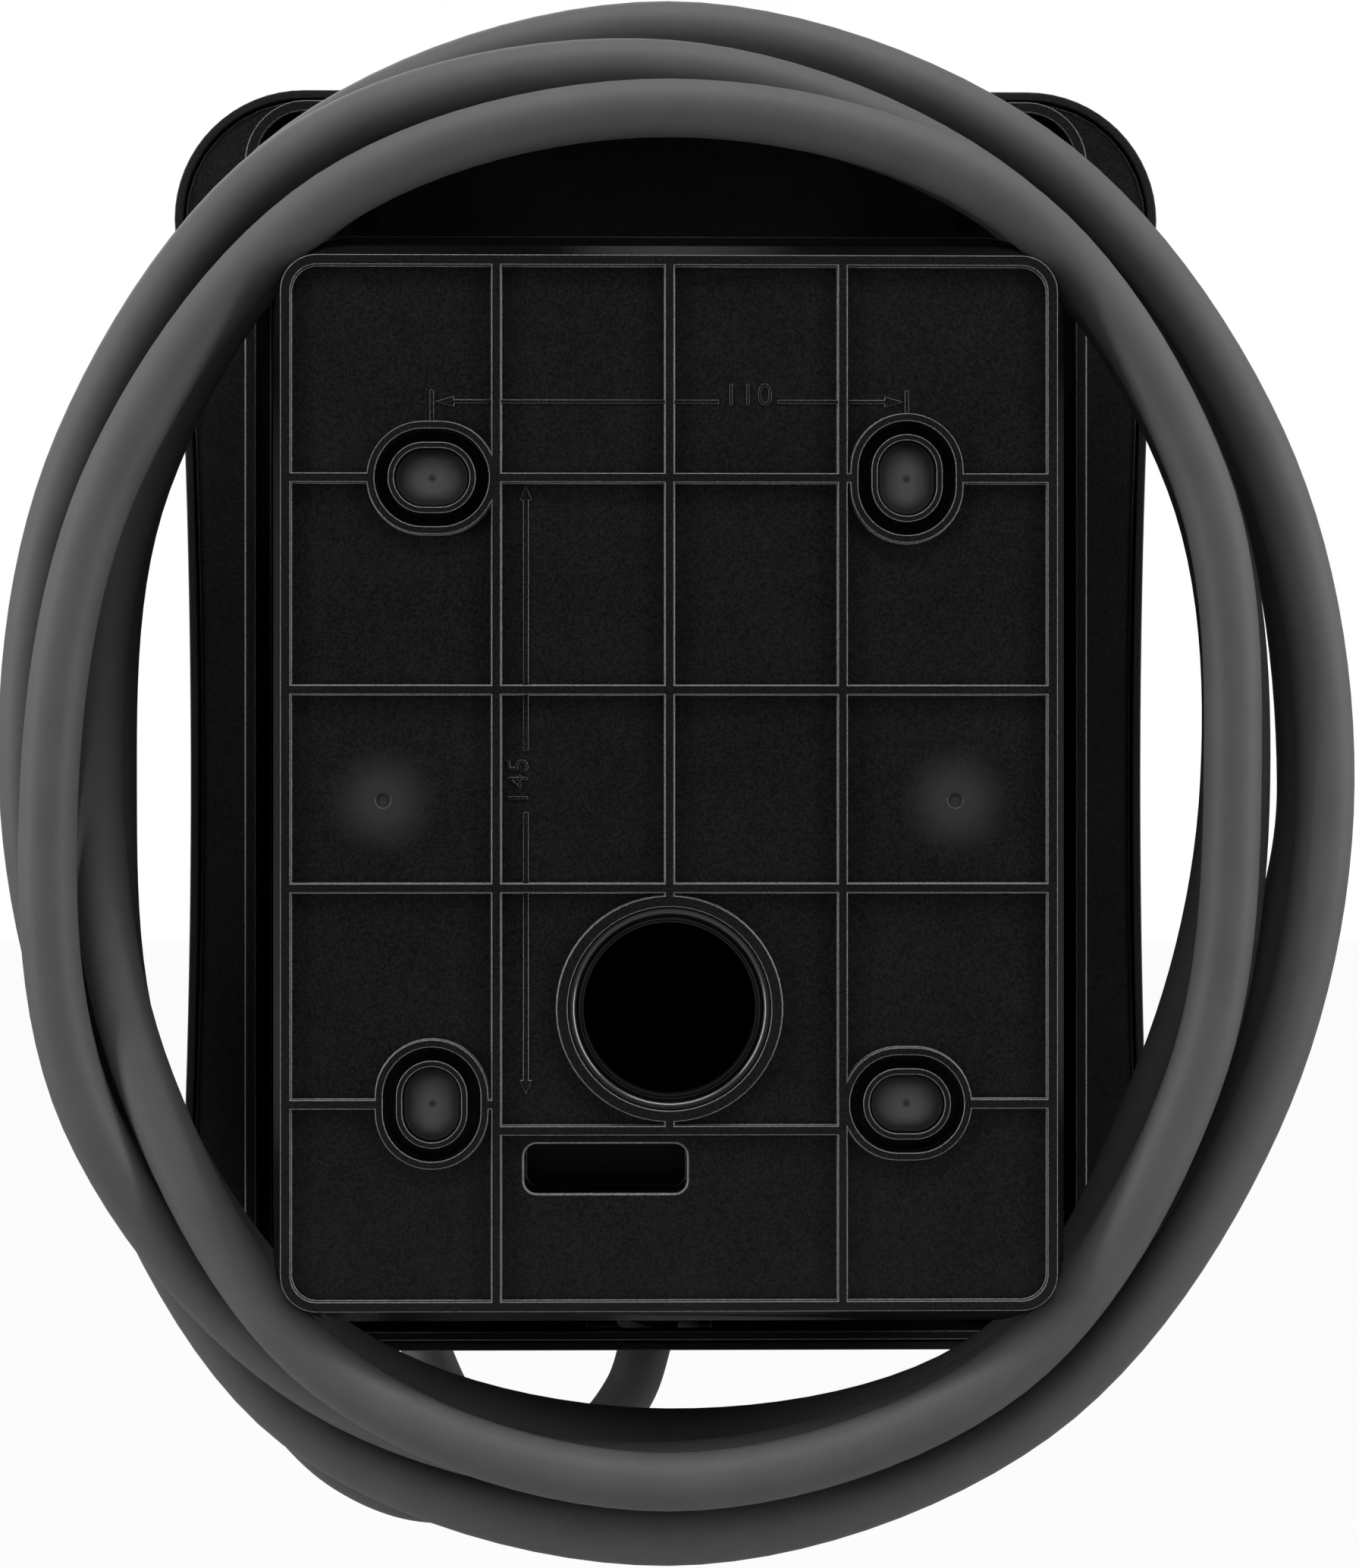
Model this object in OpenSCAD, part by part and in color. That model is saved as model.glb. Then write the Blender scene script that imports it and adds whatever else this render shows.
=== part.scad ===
// Wall unit that stores and feeds a charging cable. The cable leaves a gland in
// the unit's underside, is wound round the housing behind the wide front frame,
// and ends in a connector that parks in a cup on the front.
//
// Origin: on the wall, midway between the four wall screws. +Z up, front faces -Y.
// Modules are drawn in wall space, x right seen from the front, y up from the
// middle of the back plate and z out of the wall, and stand() sets them upright.

/* [Back plate] */
// Distance of the flat plate that lies on the wall from the housing's sides
plate_in = 2.7; // [1.7:0.1:4.7]
// Height of the back plate
plate_h = 244.6; // [238:0.2:248]
// Corner radius of the back plate
plate_r = 8.5; // [5:0.5:12]
// Depth of the sunk fields in the plate
plate_sink = 2; // [1:0.5:2.5]
// Thickness of the plate's floor under the sunk fields
floor_t = 3; // [2:0.5:4]
// Width of the rim round the plate
rim_w = 2.4; // [1.6:0.2:4]
// Width of the ribs across the plate
rib_w = 2.2; // [1.2:0.2:3]
// Distance of the upright side ribs from the middle
rib_x = 40.1; // [36:0.1:42]
// Height of the rib between the screws and the cable entry
rib_mid_y = 21.6; // [10:0.2:40]

/* [Housing] */
// Width of the housing that the cable is wound round
core_w = 185.4; // [184.4:0.2:187]
// Height of the housing above the middle of the plate
core_top = 129.5; // [127:0.5:130]
// Depth of the housing below the middle of the plate
core_bottom = 126; // [125.5:0.5:127]
// Corner radius of the housing
core_r = 18; // [17.5:0.5:22]
// Depth of the housing, from the wall to its front rim
core_depth = 99.5; // [97:0.5:104]
// Distance of the lower tier next to the wall from the housing's sides
collar_in = 1; // [0.7:0.1:1.5]
// Height of the lower tier above and below the middle of the plate
collar_half_h = 125; // [124.5:0.5:125.5]
// Corner radius of the lower tier
collar_r = 16; // [14:0.5:20]
// Depth of the lower tier
collar_depth = 17; // [14:0.5:20]
// Thickness of the housing walls
wall_t = 3; // [2:0.25:4]

/* [Wall fixings] */
// Distance between the wall screws across
fixing_dx = 110; // [106:1:112]
// Distance between the wall screws up and down
fixing_dy = 145; // [142:1:148]
// Drop of the screw pattern's middle below the plate's middle
fixing_drop = 1.8; // [0:0.2:3]
// Diameter of the hole for a wall screw
fixing_hole_d = 5.5; // [4:0.5:6.5]
// Length of the slot in the housing that holds a screw grommet
fixing_slot_l = 17.5; // [16:0.5:19]
// Width of that slot
fixing_slot_w = 13.6; // [12:0.2:15]
// Depth of the moat round the slot
fixing_moat = 5; // [3:0.5:6]

/* [Cable entry] */
// Drop of the supply cable entry below the plate's middle
entry_drop = 52.2; // [50:0.2:54]
// Bore of the entry grommet
entry_bore_d = 39.8; // [34:0.2:40]
// Diameter of the entry grommet's outer lip
entry_lip_d = 46.8; // [45.8:0.2:48]

/* [Rear pocket] */
// Length of the small pocket below the entry
pocket_l = 37.7; // [30:0.1:40]
// Width of the pocket
pocket_w = 11.4; // [9:0.2:12]
// Depth of the pocket
pocket_deep = 14.5; // [8:0.5:18]
// Corner radius of the pocket
pocket_r = 2.9; // [1:0.1:4]

/* [Frame] */
// Width of the opening that the housing and the coil stand in
opening_w = 209; // [206:1:211]
// Top of the opening above the middle of the plate
opening_top = 171.3; // [169:0.1:172]
// Bottom of the opening below the middle of the plate
opening_bottom = 139.7; // [139:0.1:140.5]
// Corner radius of the opening
opening_r = 13; // [8:0.5:16]
// Distance of the frame's rear face from the wall
land_z = 73; // [72:0.5:74]
// Thickness of the frame
frame_t = 3; // [2:0.25:3.5]
// Thickness of the skirt round the opening
skirt_t = 2.2; // [1.6:0.2:2.6]

/* [Cover] */
// Half the width of the cover at its waist
waist_half = 121.2; // [120.6:0.2:124]
// Radius of the gentle curve of the cover's sides, as rise squared over run
waist_bow = 5040; // [4200:20:9000]
// Top of the cover above the middle of the plate
cover_top = 176.7; // [176.2:0.1:180]
// Bottom of the cover below the middle of the plate
cover_bottom = 144.7; // [144.5:0.1:146]
// Corner radius of the cover
cover_r = 33; // [28:1:38]
// Distance of the cover's front face from the wall
cover_depth = 118; // [116:0.5:122]
// Thickness of the cover's side wall
cover_t = 2.2; // [1.6:0.2:2.8]
// Thickness of the cover's front
front_t = 3; // [2:0.25:4]
// Radius of the cover's front edge
edge_r = 10; // [6:0.5:12]

/* [Cable] */
// Diameter of the charging cable
cable_d = 13.5; // [11:0.5:13.5]

/* [Connector] */
// Distance of the connector's axis to the right of the middle
dock_x = 72; // [64:1:80]
// Distance of the connector's axis from the wall
dock_z = 150; // [148:1:156]
// Diameter of the connector's nose
nose_d = 56.8; // [50:0.2:58]
// Length of the nose
nose_l = 56; // [44:1:60]
// Depth of the connector's grip from front to back
grip_w = 44; // [40:1:48]
// Width of the connector's grip
grip_l = 50; // [49:1:54]
// Height of the grip's upper end above the middle of the plate
grip_top = 30; // [24:1:34]
// Length of the grip
grip_h = 115; // [100:1:118]
// Thickness of the grip shells
grip_t = 3; // [2:0.25:4]
// Thickness of the parking cup's wall
cup_t = 2.8; // [2:0.2:3.2]
// Length of the parking cup
cup_l = 60; // [52:1:66]

/* [Electrics] */
// Width of the main circuit board
board_w = 150; // [140:1:160]
// Height of the main circuit board
board_h = 110; // [100:1:112]
// Distance of the board's rear face from the wall
board_z = 60; // [56:0.5:62]
// Thickness of the circuit boards
board_t = 1.6; // [1:0.2:2]
// Length of the mounting rail
rail_l = 150; // [150:1:158]
// Height of the mounting rail's middle above the middle of the plate
rail_y = 100; // [98:0.5:102]
// Diameter of the stop button
button_d = 20; // [14:0.5:24]
// Travel of the stop button
button_travel = 2; // [1:0.1:2.2]
// Travel of the contactor's armature
armature_travel = 3; // [1.5:0.1:3.5]
// Travel of the tamper switch's plunger
tamper_travel = 1; // [0.5:0.1:1.5]

/* [Hidden] */
$fn = 48;

// Clearances and small allowances
fit = 0.1;
slide_gap = 0.3;
cut = 1;
thread_bite = 8;

// Widths of the housing's tiers
plate_w = core_w - 2 * plate_in;
collar_w = core_w - 2 * collar_in;

// Heights of the layers, out of the wall
plate_z = plate_sink + 1;
floor_z = plate_sink + floor_t;
collar_step = collar_depth + wall_t;
bead_z = land_z - 1.5;
skirt_z = land_z + frame_t;
gasket_t = 1.5;
moat_z = core_depth + gasket_t;
moat_front = moat_z + frame_t;
front_z = cover_depth - front_t;

// Wall fixings, in wall space
fixing_top = fixing_dy / 2 - fixing_drop;
fixing_low = -fixing_dy / 2 - fixing_drop;
collar_wall = 1.45;
boss_gap = 3.05;
boss_wall = 1.8;
collar_l = fixing_slot_l + 2 * collar_wall;
collar_wide = fixing_slot_w + 2 * collar_wall;
moat_l = collar_l + 2 * boss_gap;
moat_w = collar_wide + 2 * boss_gap;
boss_l = moat_l + 2 * boss_wall;
boss_w = moat_w + 2 * boss_wall;
pad_t = 4;
FIXINGS = [
    [fixing_dx / 2, fixing_top, 0],
    [-fixing_dx / 2, fixing_top, 90],
    [fixing_dx / 2, fixing_low, 90],
    [-fixing_dx / 2, fixing_low, 0]
];

// Cable entry
entry_y = -entry_drop;
entry_seat_r = entry_lip_d / 2 + 2 * fit;
entry_hole_r = entry_seat_r - 1.6;
entry_ring_r = entry_seat_r + 2.6;

// Rear pocket
pocket_x = 14.85;
pocket_y = entry_y - 37.2;
pocket_wall = 2;
gate_mark = [66.4, -4];
gate_r = 1.8;

// Posts that the frame screws bite in
post_r = 4.5;
screw_r = 2;
pilot_r = 1.6;
post_inset = 9.9;
post_x = core_w / 2 - post_inset;
side_post_x = core_w / 2 - wall_t - post_r + 0.8;
POSTS = [
    for (side = [-1, 1])
        each [
            [side * post_x, core_top - post_inset],
            [side * side_post_x, 0],
            [side * post_x, post_inset - core_bottom]
        ]
];

// Inner edge of the frame's front floor
lip_w = 13.7;
inner_half_w = core_w / 2 - wall_t - lip_w;
inner_top = core_top - wall_t - lip_w;
inner_low = core_bottom - wall_t - lip_w;
inner_r = 6;

// Gland, on an axis that leans towards +x
gland_lean = 17;
gland_at = [-0.7, -core_bottom, 88.5];
gland_bore_r = cable_d / 2 + fit;
gland_thread_r = 8;
gland_boss_r = 10.9;
gland_boss_l = 3.8;
gland_hex_r = 11.5;
gland_hex_top = gland_boss_l + 3.6;
gland_nut_r = 12;
gland_cavity_r = 9.5;
gland_tip = 17.8;
tail_l = 24;
gland_way = [sin(gland_lean), -cos(gland_lean), 0];
gland_side = [cos(gland_lean), sin(gland_lean), 0];
gland_exit = gland_at + gland_tip * gland_way;
notch_w = 32;

// Cover screws and posts
cover_post_r = 4;
cover_post_top = [waist_half - 41.2, opening_top - 21.3];
cover_post_low = [waist_half - 22.7, 6.7 - opening_bottom];
COVER_POSTS = [
    for (side = [-1, 1], p = [cover_post_top, cover_post_low])
        [side * p[0], p[1]]
];

// Front board, lamps, stop button
front_board = [126, 36];
front_board_at = [-15, core_top - 28.5];
front_board_z = moat_front + 2;
lens_size = [60, 6];
lens_at = [-5, core_top - 19.5];
button_at = [-60, core_top - 34.5];
button_flange_t = 2.3;
FRONT_BOARD_SCREWS = [
    for (x = [-1, 1], y = [-1, 1])
        [front_board_at[0] + x * (front_board[0] / 2 - 4), front_board_at[1] + y * (front_board[1] / 2 - 4)]
];

// Mounting rail and what sits on it
rail_w = 35;
rail_pad = 3;
rail_z = floor_z + rail_pad;
rail_h = 7.5;
device_z = rail_z + rail_h + 0.5;
device_low = rail_y - 42;
device_h = 64;
contactor_x = 5 - rail_l / 2;
contactor_w = 36;
contactor_h = 64;
armature = [16, 20];
armature_at = [contactor_x + contactor_w / 2, rail_y];
supply_w = 60;
supply_x = rail_l / 2 - 5 - supply_w;
supply_h = 34;

// Main board
board_y = -5;
board_top = board_y + board_h / 2;
board_low = board_y - board_h / 2;
board_front = board_z + board_t;
STANDOFFS = [
    for (x = [-1, 1], y = [-1, 1])
        [x * (board_w / 2 - 5), board_y + y * (board_h / 2 - 5)]
];
standoff_r = 4;

// Terminals and earth stud
terminal_at = [18.7 - core_w / 2, 8 - core_bottom];
terminal_size = [64, 20, 28];
terminal_z = floor_z + 3;
terminal_pitch = 12.5;
earth_at = [core_w / 2 - 32.7, 21 - core_bottom];
earth_r = 3;

// Connector and its cup
cup_clear = 0.8;
nose_top = grip_top + 4 + nose_l;
cup_r = nose_d / 2 + cup_clear;
cup_low = nose_top + 3 - cup_l + 3;
cup_top = cup_low + cup_l;
dock_plate = [50, 4];
dock_seal_top = cover_depth + 0.4;
grip_low = grip_top - grip_h;
boot_l = 33;
CONTACTS = [[0, 0, 3.4], [-14, 2, 3.4], [14, 2, 3.4], [-8.5, -12, 3.4], [8.5, -12, 3.4], [-7, 13, 2.2], [7, 13, 2.2]];
DOCK_SCREWS = [
    for (x = [-1, 1], y = [-1, 1])
        [dock_x + x * (dock_plate[0] / 2 - 5), (cup_low + cup_top) / 2 + y * (cup_l / 2 - 8)]
];

// Cable route, in wall space. The leads are points; each coil row is one turn,
// in steps of 30 degrees from the right, as distance from the middle of the
// plate and height over the wall.
LEAD_IN = [
    [9.5, -158, 87.5], [21.5, -172, 84.5], [41, -181, 79.5], [62.5, -181.5, 73],
    [81, -172.5, 67], [95, -157.5, 62], [112.5, -132.5, 57], [128, -106.5, 53.5],
    [141, -81, 51], [150.5, -40, 46]
];
TURNS = [
    [[151.5, 40], [163.5, 41], [180, 44.5], [185, 42.5], [177, 34], [163, 22.5],
     [156, 16.5], [160, 16.5], [173, 17.5], [182, 30.5], [179, 36], [157.5, 32]],
    [[152.5, 22], [161, 22], [174, 22], [170.5, 22], [161.5, 24], [147.5, 24],
     [137.5, 24], [145, 24.5], [161, 26.5], [164.5, 24.5], [166.5, 25.5], [157.5, 14.5]],
    [[145, 10], [149, 10], [158, 10], [158.5, 10], [158, 10], [144, 10],
     [132.5, 10], [142, 10], [159, 10], [164, 10], [159, 10], [142.5, 16.5]],
    [[137.5, 28], [147, 29], [162.5, 32.5], [165.5, 38.5], [163, 38.5], [148.5, 39],
     [137, 38.5], [140.5, 39.5], [161.5, 41.5], [161.5, 48.5], [162, 51], [148, 44]],
    [[137, 44], [148.5, 44.5], [166.5, 49.5], [176, 56.5], [172, 51.5], [164, 41.5],
     [154.5, 32]]
];
LEAD_OUT = [
    [-148, -39.5, 31.5], [-136.5, -79.5, 34], [-117.5, -117.5, 41.5], [-91, -151, 50],
    [-62, -173, 57], [-32, -185.5, 66.5], [-4, -192, 79], [20, -193, 93],
    [40, -186, 107.5], [55.5, -172.5, 121.5], [66, -155, 135.5], [71, -137, 145.5]
];
cable_end = [dock_x, grip_low - boot_l, dock_z];
station_step = 30;
COIL = [
    for (turn = [0 : len(TURNS) - 1], i = [0 : len(TURNS[turn]) - 1])
        let (angle = station_step * i, reach = TURNS[turn][i][0])
            [reach * cos(angle), reach * sin(angle), TURNS[turn][i][1]]
];
ROUTE = concat([gland_exit], LEAD_IN, COIL, LEAD_OUT, [cable_end]);
coil_from = 1 + len(LEAD_IN);
coil_to = coil_from + len(COIL) - 1;
route_end = len(ROUTE) - 1;
tube_sides = 8;
coil_sides = 6;
ring_step = 0.5;

// ---- Shapes ----

// Turns wall space upright
module stand() {
    translate([0, 0, fixing_drop])
        rotate([90, 0, 0])
            children();
}

// A flat outline as a layer between two heights over the wall
module slab(from, to) {
    translate([0, 0, from])
        linear_extrude(to - from)
            children();
}

// A rectangle with round corners between two heights and a half width
module round_span(half_w, top, low, r) {
    translate([-half_w + r, -low])
        square([2 * (half_w - r), top + low]);
    translate([-half_w, -low + r])
        square([2 * half_w, top + low - 2 * r]);
    for (x = [-1, 1], y = [-low + r, top - r])
        translate([x * (half_w - r), y])
            circle(r);
}

module round_rect(w, h, r) {
    round_span(w / 2, h / 2, h / 2, r);
}

// A rectangle whose ends are half circles
module stadium(l, w) {
    square([l - w, w], center = true);
    for (x = [-1, 1])
        translate([x * (l - w) / 2, 0])
            circle(w / 2);
}

module at_fixings() {
    for (place = FIXINGS)
        translate([place[0], place[1], 0])
            rotate(place[2])
                children();
}

module at_points(points, z = 0) {
    for (p = points)
        translate([p[0], p[1], z])
            children();
}

module peg(r, from, to) {
    translate([0, 0, from])
        cylinder(h = to - from, r = r);
}

module block(size, at) {
    translate(at)
        cube(size);
}

// A pan head screw along z, with the head's seat at z = 0
module screw(r, length, head_r = 0, head_h = 2.2) {
    drive_r = r * 0.7;
    difference() {
        union() {
            peg(r, -length, 0);
            peg(head_r > 0 ? head_r : r * 1.8, 0, head_h);
        }
        translate([0, 0, head_h / 2])
            cylinder(h = head_h, r = drive_r, $fn = 6);
    }
}

module hex_prism(r, from, to) {
    translate([0, 0, from])
        cylinder(h = to - from, r = r, $fn = 6);
}

// Sets z along the gland's axis, out of the housing, from its place in the wall
module at_gland() {
    translate(gland_at)
        rotate([0, 0, gland_lean])
            rotate([90, 0, 0])
                children();
}

// Sets z along the connector's axis, upwards, and y out of the wall's side
module at_dock() {
    translate([dock_x, 0, dock_z])
        rotate([-90, 0, 0])
            children();
}

// ---- Cable ----

// Centripetal spline between knots i and i + 1 of a list of points
function knot_gap(a, b) = sqrt(norm(b - a));
function blend(a, b, ta, tb, t) = (tb - t) / (tb - ta) * a + (t - ta) / (tb - ta) * b;
function spline_span(a, b, c, d, u) =
    let (
        tb = knot_gap(a, b),
        tc = tb + knot_gap(b, c),
        td = tc + knot_gap(c, d),
        t = tb + (tc - tb) * u,
        ab = blend(a, b, 0, tb, t),
        bc = blend(b, c, tb, tc, t),
        cd = blend(c, d, tc, td, t),
        abc = blend(ab, bc, 0, tc, t),
        bcd = blend(bc, cd, tb, td, t)
    )
    blend(abc, bcd, tb, tc, t);
function route_at(s) =
    let (
        i = max(0, min(route_end - 1, floor(s))),
        b = ROUTE[i],
        c = ROUTE[i + 1],
        a = i > 0 ? ROUTE[i - 1] : 2 * b - c,
        d = i + 2 <= route_end ? ROUTE[i + 2] : 2 * c - b
    )
    spline_span(a, b, c, d, s - i);
function unit(v) = v / norm(v);
function heading(s) =
    let (e = 0.02)
        s < e ? gland_way
        : s > route_end - e ? [0, 1, 0]
        : unit(route_at(s + e) - route_at(s - e));

// A ring is its middle and its heading
function ring(s) = [route_at(s), heading(s)];
function ring_near(s, along) = [route_at(s) + along * heading(s), heading(s)];
function ring_points(r, radius, sides, across) =
    let (
        side = unit(cross(r[1], across)),
        up = cross(side, r[1])
    )
    [for (k = [0 : sides - 1]) r[0] + radius * (sin(360 * k / sides) * side + cos(360 * k / sides) * up)];

// A tube through rings. None of them may head along the direction across.
module tube(rings, radius, sides, across = [0, 0, 1]) {
    last = len(rings) - 1;
    faces = concat(
        [for (i = [0 : last - 1], k = [0 : sides - 1])
            let (n = (k + 1) % sides, a = i * sides)
                each [[a + k, a + sides + n, a + n], [a + k, a + sides + k, a + sides + n]]],
        [for (k = [1 : sides - 2]) [0, k, k + 1]],
        [for (k = [1 : sides - 2]) [last * sides, last * sides + k + 1, last * sides + k]]
    );
    polyhedron(points = [for (r = rings) each ring_points(r, radius, sides, across)], faces = faces);
}

COIL_RINGS = concat(
    [ring(coil_from), ring_near(coil_from, cable_d)],
    [for (s = [coil_from + 0.75 : ring_step : coil_to - 0.5]) ring(s)],
    [ring_near(coil_to, -cable_d), ring(coil_to)]
);

// Least gap between two turns of the coil, measured from each ring to each stretch
function stretch_gap(p, a, b) =
    let (
        along = b - a,
        t = max(0, min(1, (p - a) * along / (along * along)))
    )
    norm(a + t * along - p) - cable_d;
turn_apart = 12;
coil_gap = min([
    for (i = [0 : len(COIL_RINGS) - 1 - turn_apart], j = [i + turn_apart : len(COIL_RINGS) - 2])
        stretch_gap(COIL_RINGS[i][0], COIL_RINGS[j][0], COIL_RINGS[j + 1][0])
]);
function route_length(from, to, step) =
    let (count = round((to - from) / step))
        [for (i = 0, sum = 0; i <= count;
              sum = i < count ? sum + norm(route_at(from + (i + 1) * step) - route_at(from + i * step)) : sum,
              i = i + 1) sum][count];
echo(least_gap_between_turns = coil_gap);
echo(cable_length = route_length(0, route_end, 0.25));

module cable_lead_in() color("#1c1c1c") stand()
    tube([for (s = [0 : ring_step : coil_from]) ring(s)], cable_d / 2, tube_sides);

module cable_coil() color("#1c1c1c") stand()
    tube(COIL_RINGS, cable_d / 2, coil_sides);

module cable_lead_out() color("#1c1c1c") stand()
    tube([for (s = [coil_to : ring_step : route_end]) ring(s)], cable_d / 2, tube_sides);

// ---- Housing ----

module plate_ribs() {
    for (x = [-rib_x, rib_x])
        translate([x - rib_w / 2, -plate_h / 2])
            square([rib_w, plate_h]);
    translate([-rib_w / 2, entry_y])
        square([rib_w, plate_h / 2 - entry_y]);
    translate([-rib_w / 2, pocket_y + 9])
        square([rib_w, entry_y - pocket_y - 9]);
    for (y = [fixing_top, rib_mid_y, entry_y + 27.9])
        translate([-plate_w / 2, y - rib_w / 2])
            square([plate_w, rib_w]);
    for (x = [-plate_w / 2, rib_x])
        translate([x, fixing_low - rib_w / 2])
            square([plate_w / 2 - rib_x, rib_w]);
    translate([-rib_x, pocket_y + 9 - rib_w / 2])
        square([2 * rib_x, rib_w]);
}

// What stays flush with the wall inside the plate's rim
module flush_parts() {
    plate_ribs();
    at_fixings()
        stadium(boss_l, boss_w);
    translate([0, entry_y])
        circle(entry_ring_r);
}

module housing_shell() {
    slab(0, plate_z)
        round_rect(plate_w, plate_h, plate_r);
    slab(plate_z, collar_depth)
        round_rect(collar_w, 2 * collar_half_h, collar_r);
    slab(collar_depth, core_depth)
        round_span(core_w / 2, core_top, core_bottom, core_r);
}

module housing_hollow() {
    slab(floor_z, collar_step)
        round_rect(collar_w - 2 * wall_t, 2 * (collar_half_h - wall_t), collar_r - wall_t);
    slab(collar_step, core_depth + cut)
        round_span(core_w / 2 - wall_t, core_top - wall_t, core_bottom - wall_t, core_r - wall_t);
}

module housing_inner_bosses() {
    at_fixings()
        slab(floor_z - fit, floor_z + pad_t)
            stadium(boss_l, boss_w);
    slab(floor_z - fit, pocket_deep + pocket_wall)
        translate([pocket_x, pocket_y])
            round_rect(pocket_l + 2 * pocket_wall, pocket_w + 2 * pocket_wall, pocket_r + pocket_wall);
    at_points(POSTS)
        peg(post_r, collar_step, core_depth);
    for (x = [-1, 1])
        block([12, 22, rail_pad + fit], [x * (rail_l / 2 - 11) - 6, rail_y - 11, floor_z - fit]);
    at_gland()
        peg(gland_boss_r, -8, gland_boss_l);
}

module rear_housing() color("#1d1d1f") stand() difference() {
    union() {
        difference() {
            housing_shell();
            housing_hollow();
        }
        housing_inner_bosses();
    }
    slab(-cut, plate_sink)
        difference() {
            round_rect(plate_w - 2 * rim_w, plate_h - 2 * rim_w, plate_r - rim_w);
            flush_parts();
        }
    at_fixings() {
        slab(-cut, fixing_moat)
            difference() {
                stadium(moat_l, moat_w);
                stadium(collar_l, collar_wide);
            }
        slab(-cut, floor_z + pad_t + cut)
            stadium(fixing_slot_l, fixing_slot_w);
    }
    translate([0, entry_y, 0]) {
        peg(entry_seat_r, -cut, plate_sink);
        peg(entry_hole_r, -cut, floor_z + cut);
    }
    slab(-cut, pocket_deep)
        translate([pocket_x, pocket_y])
            round_rect(pocket_l, pocket_w, pocket_r);
    for (x = [-1, 1])
        translate([x * gate_mark[0], gate_mark[1], 0])
            peg(gate_r, -cut, plate_sink + 0.5);
    at_points(POSTS)
        peg(pilot_r, core_depth - 20, core_depth + cut);
    for (x = [-1, 1])
        translate([x * (rail_l / 2 - 11), rail_y, 0])
            peg(pilot_r, floor_z - 1.5, rail_z + cut);
    at_gland()
        peg(gland_thread_r + fit, -9, gland_boss_l + cut);
}

// Soft plugs in the four slots, each with the hole for a wall screw
module mount_grommets() color("#3c3c3e") stand() at_fixings() difference() {
    union() {
        slab(1, floor_z + pad_t + fit)
            stadium(fixing_slot_l - 2 * fit, fixing_slot_w - 2 * fit);
        slab(floor_z + pad_t + fit, floor_z + pad_t + 2)
            stadium(fixing_slot_l + 5, fixing_slot_w + 5);
    }
    peg(fixing_hole_d / 2, 0, floor_z + pad_t + 3);
}

module rear_entry_grommet() color("#26262a") stand() translate([0, entry_y, 0]) difference() {
    bore_r = entry_bore_d / 2;
    union() {
        peg(entry_lip_d / 2, 0.2, plate_sink - fit);
        peg(entry_hole_r - fit, plate_sink - fit, floor_z + fit);
        peg(entry_hole_r + 2.5, floor_z + fit, floor_z + 2.6);
    }
    peg(bore_r, -cut, floor_z + 4);
    rotate_extrude()
        translate([bore_r + 1.1, -cut])
            square([0.9, cut + 0.8]);
    rotate_extrude()
        translate([bore_r + 2.6, -cut])
            square([0.4, cut + 0.6]);
}

module housing_gasket() color("#303033") stand() slab(core_depth, moat_z) difference() {
    inset = 0.5;
    round_span(core_w / 2 - inset, core_top - inset, core_bottom - inset, core_r - inset);
    round_span(core_w / 2 - wall_t + inset, core_top - wall_t + inset, core_bottom - wall_t + inset,
               core_r - wall_t + inset);
}

// ---- Frame and cover ----

function waist(y) = waist_half + y * y / waist_bow;
arc_steps = 8;
side_steps = 10;

// The cover's outline, drawn in by an inset: its left and right sides are hollow
// curves and its four corners are arcs
function corner_arc(side, y, from, inset) = [
    for (i = [0 : arc_steps])
        let (angle = from + 90 * i / arc_steps, r = cover_r - inset)
            [side * (waist(y) - cover_r) + r * cos(angle), y + r * sin(angle)]
];
function side_line(side, from, to, inset) = [
    for (i = [1 : side_steps - 1])
        let (y = from + (to - from) * i / side_steps)
            [side * (waist(y) - inset), y]
];
function cover_points(inset) =
    let (high = cover_top - cover_r, low = cover_r - cover_bottom)
        concat(
            corner_arc(1, low, -90, inset),
            side_line(1, low, high, inset),
            corner_arc(1, high, 0, inset),
            corner_arc(-1, high, 90, inset),
            side_line(-1, high, low, inset),
            corner_arc(-1, low, 180, inset)
        );
module cover_outline(inset) {
    polygon(cover_points(inset));
}

module opening(grow) {
    round_span(opening_w / 2 + grow, opening_top + grow, opening_bottom + grow, opening_r + grow);
}

// The gap that the gland passes in the skirt, and the cable in the cover
module gland_notch(low, high) {
    block([notch_w, 20, high - low], [gland_exit[0] - notch_w / 2, -cover_bottom - 10, low]);
}

land_gap = 0.5;
bead_w = 2.8;
module mid_frame() color("#222224") stand() difference() {
    union() {
        slab(land_z, skirt_z)
            difference() {
                cover_outline(cover_t + land_gap);
                opening(0);
            }
        slab(bead_z, land_z + fit)
            difference() {
                intersection() {
                    opening(bead_w);
                    cover_outline(cover_t + land_gap);
                }
                opening(0);
            }
        slab(skirt_z - fit, moat_front)
            difference() {
                opening(skirt_t);
                opening(0);
            }
        slab(moat_z, moat_front)
            difference() {
                opening(fit);
                round_span(inner_half_w, inner_top, inner_low, inner_r);
            }
    }
    gland_notch(skirt_z + 1, moat_z);
    at_points(POSTS)
        peg(screw_r + 0.2, moat_z - cut, moat_front + cut);
    at_points(COVER_POSTS)
        peg(screw_r + 0.2, moat_z - cut, moat_front + cut);
}

module frame_screws() color("#232325") stand() at_points(POSTS, moat_front + fit)
    screw(pilot_r - fit, thread_bite + frame_t + gasket_t, 3.4);

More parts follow.
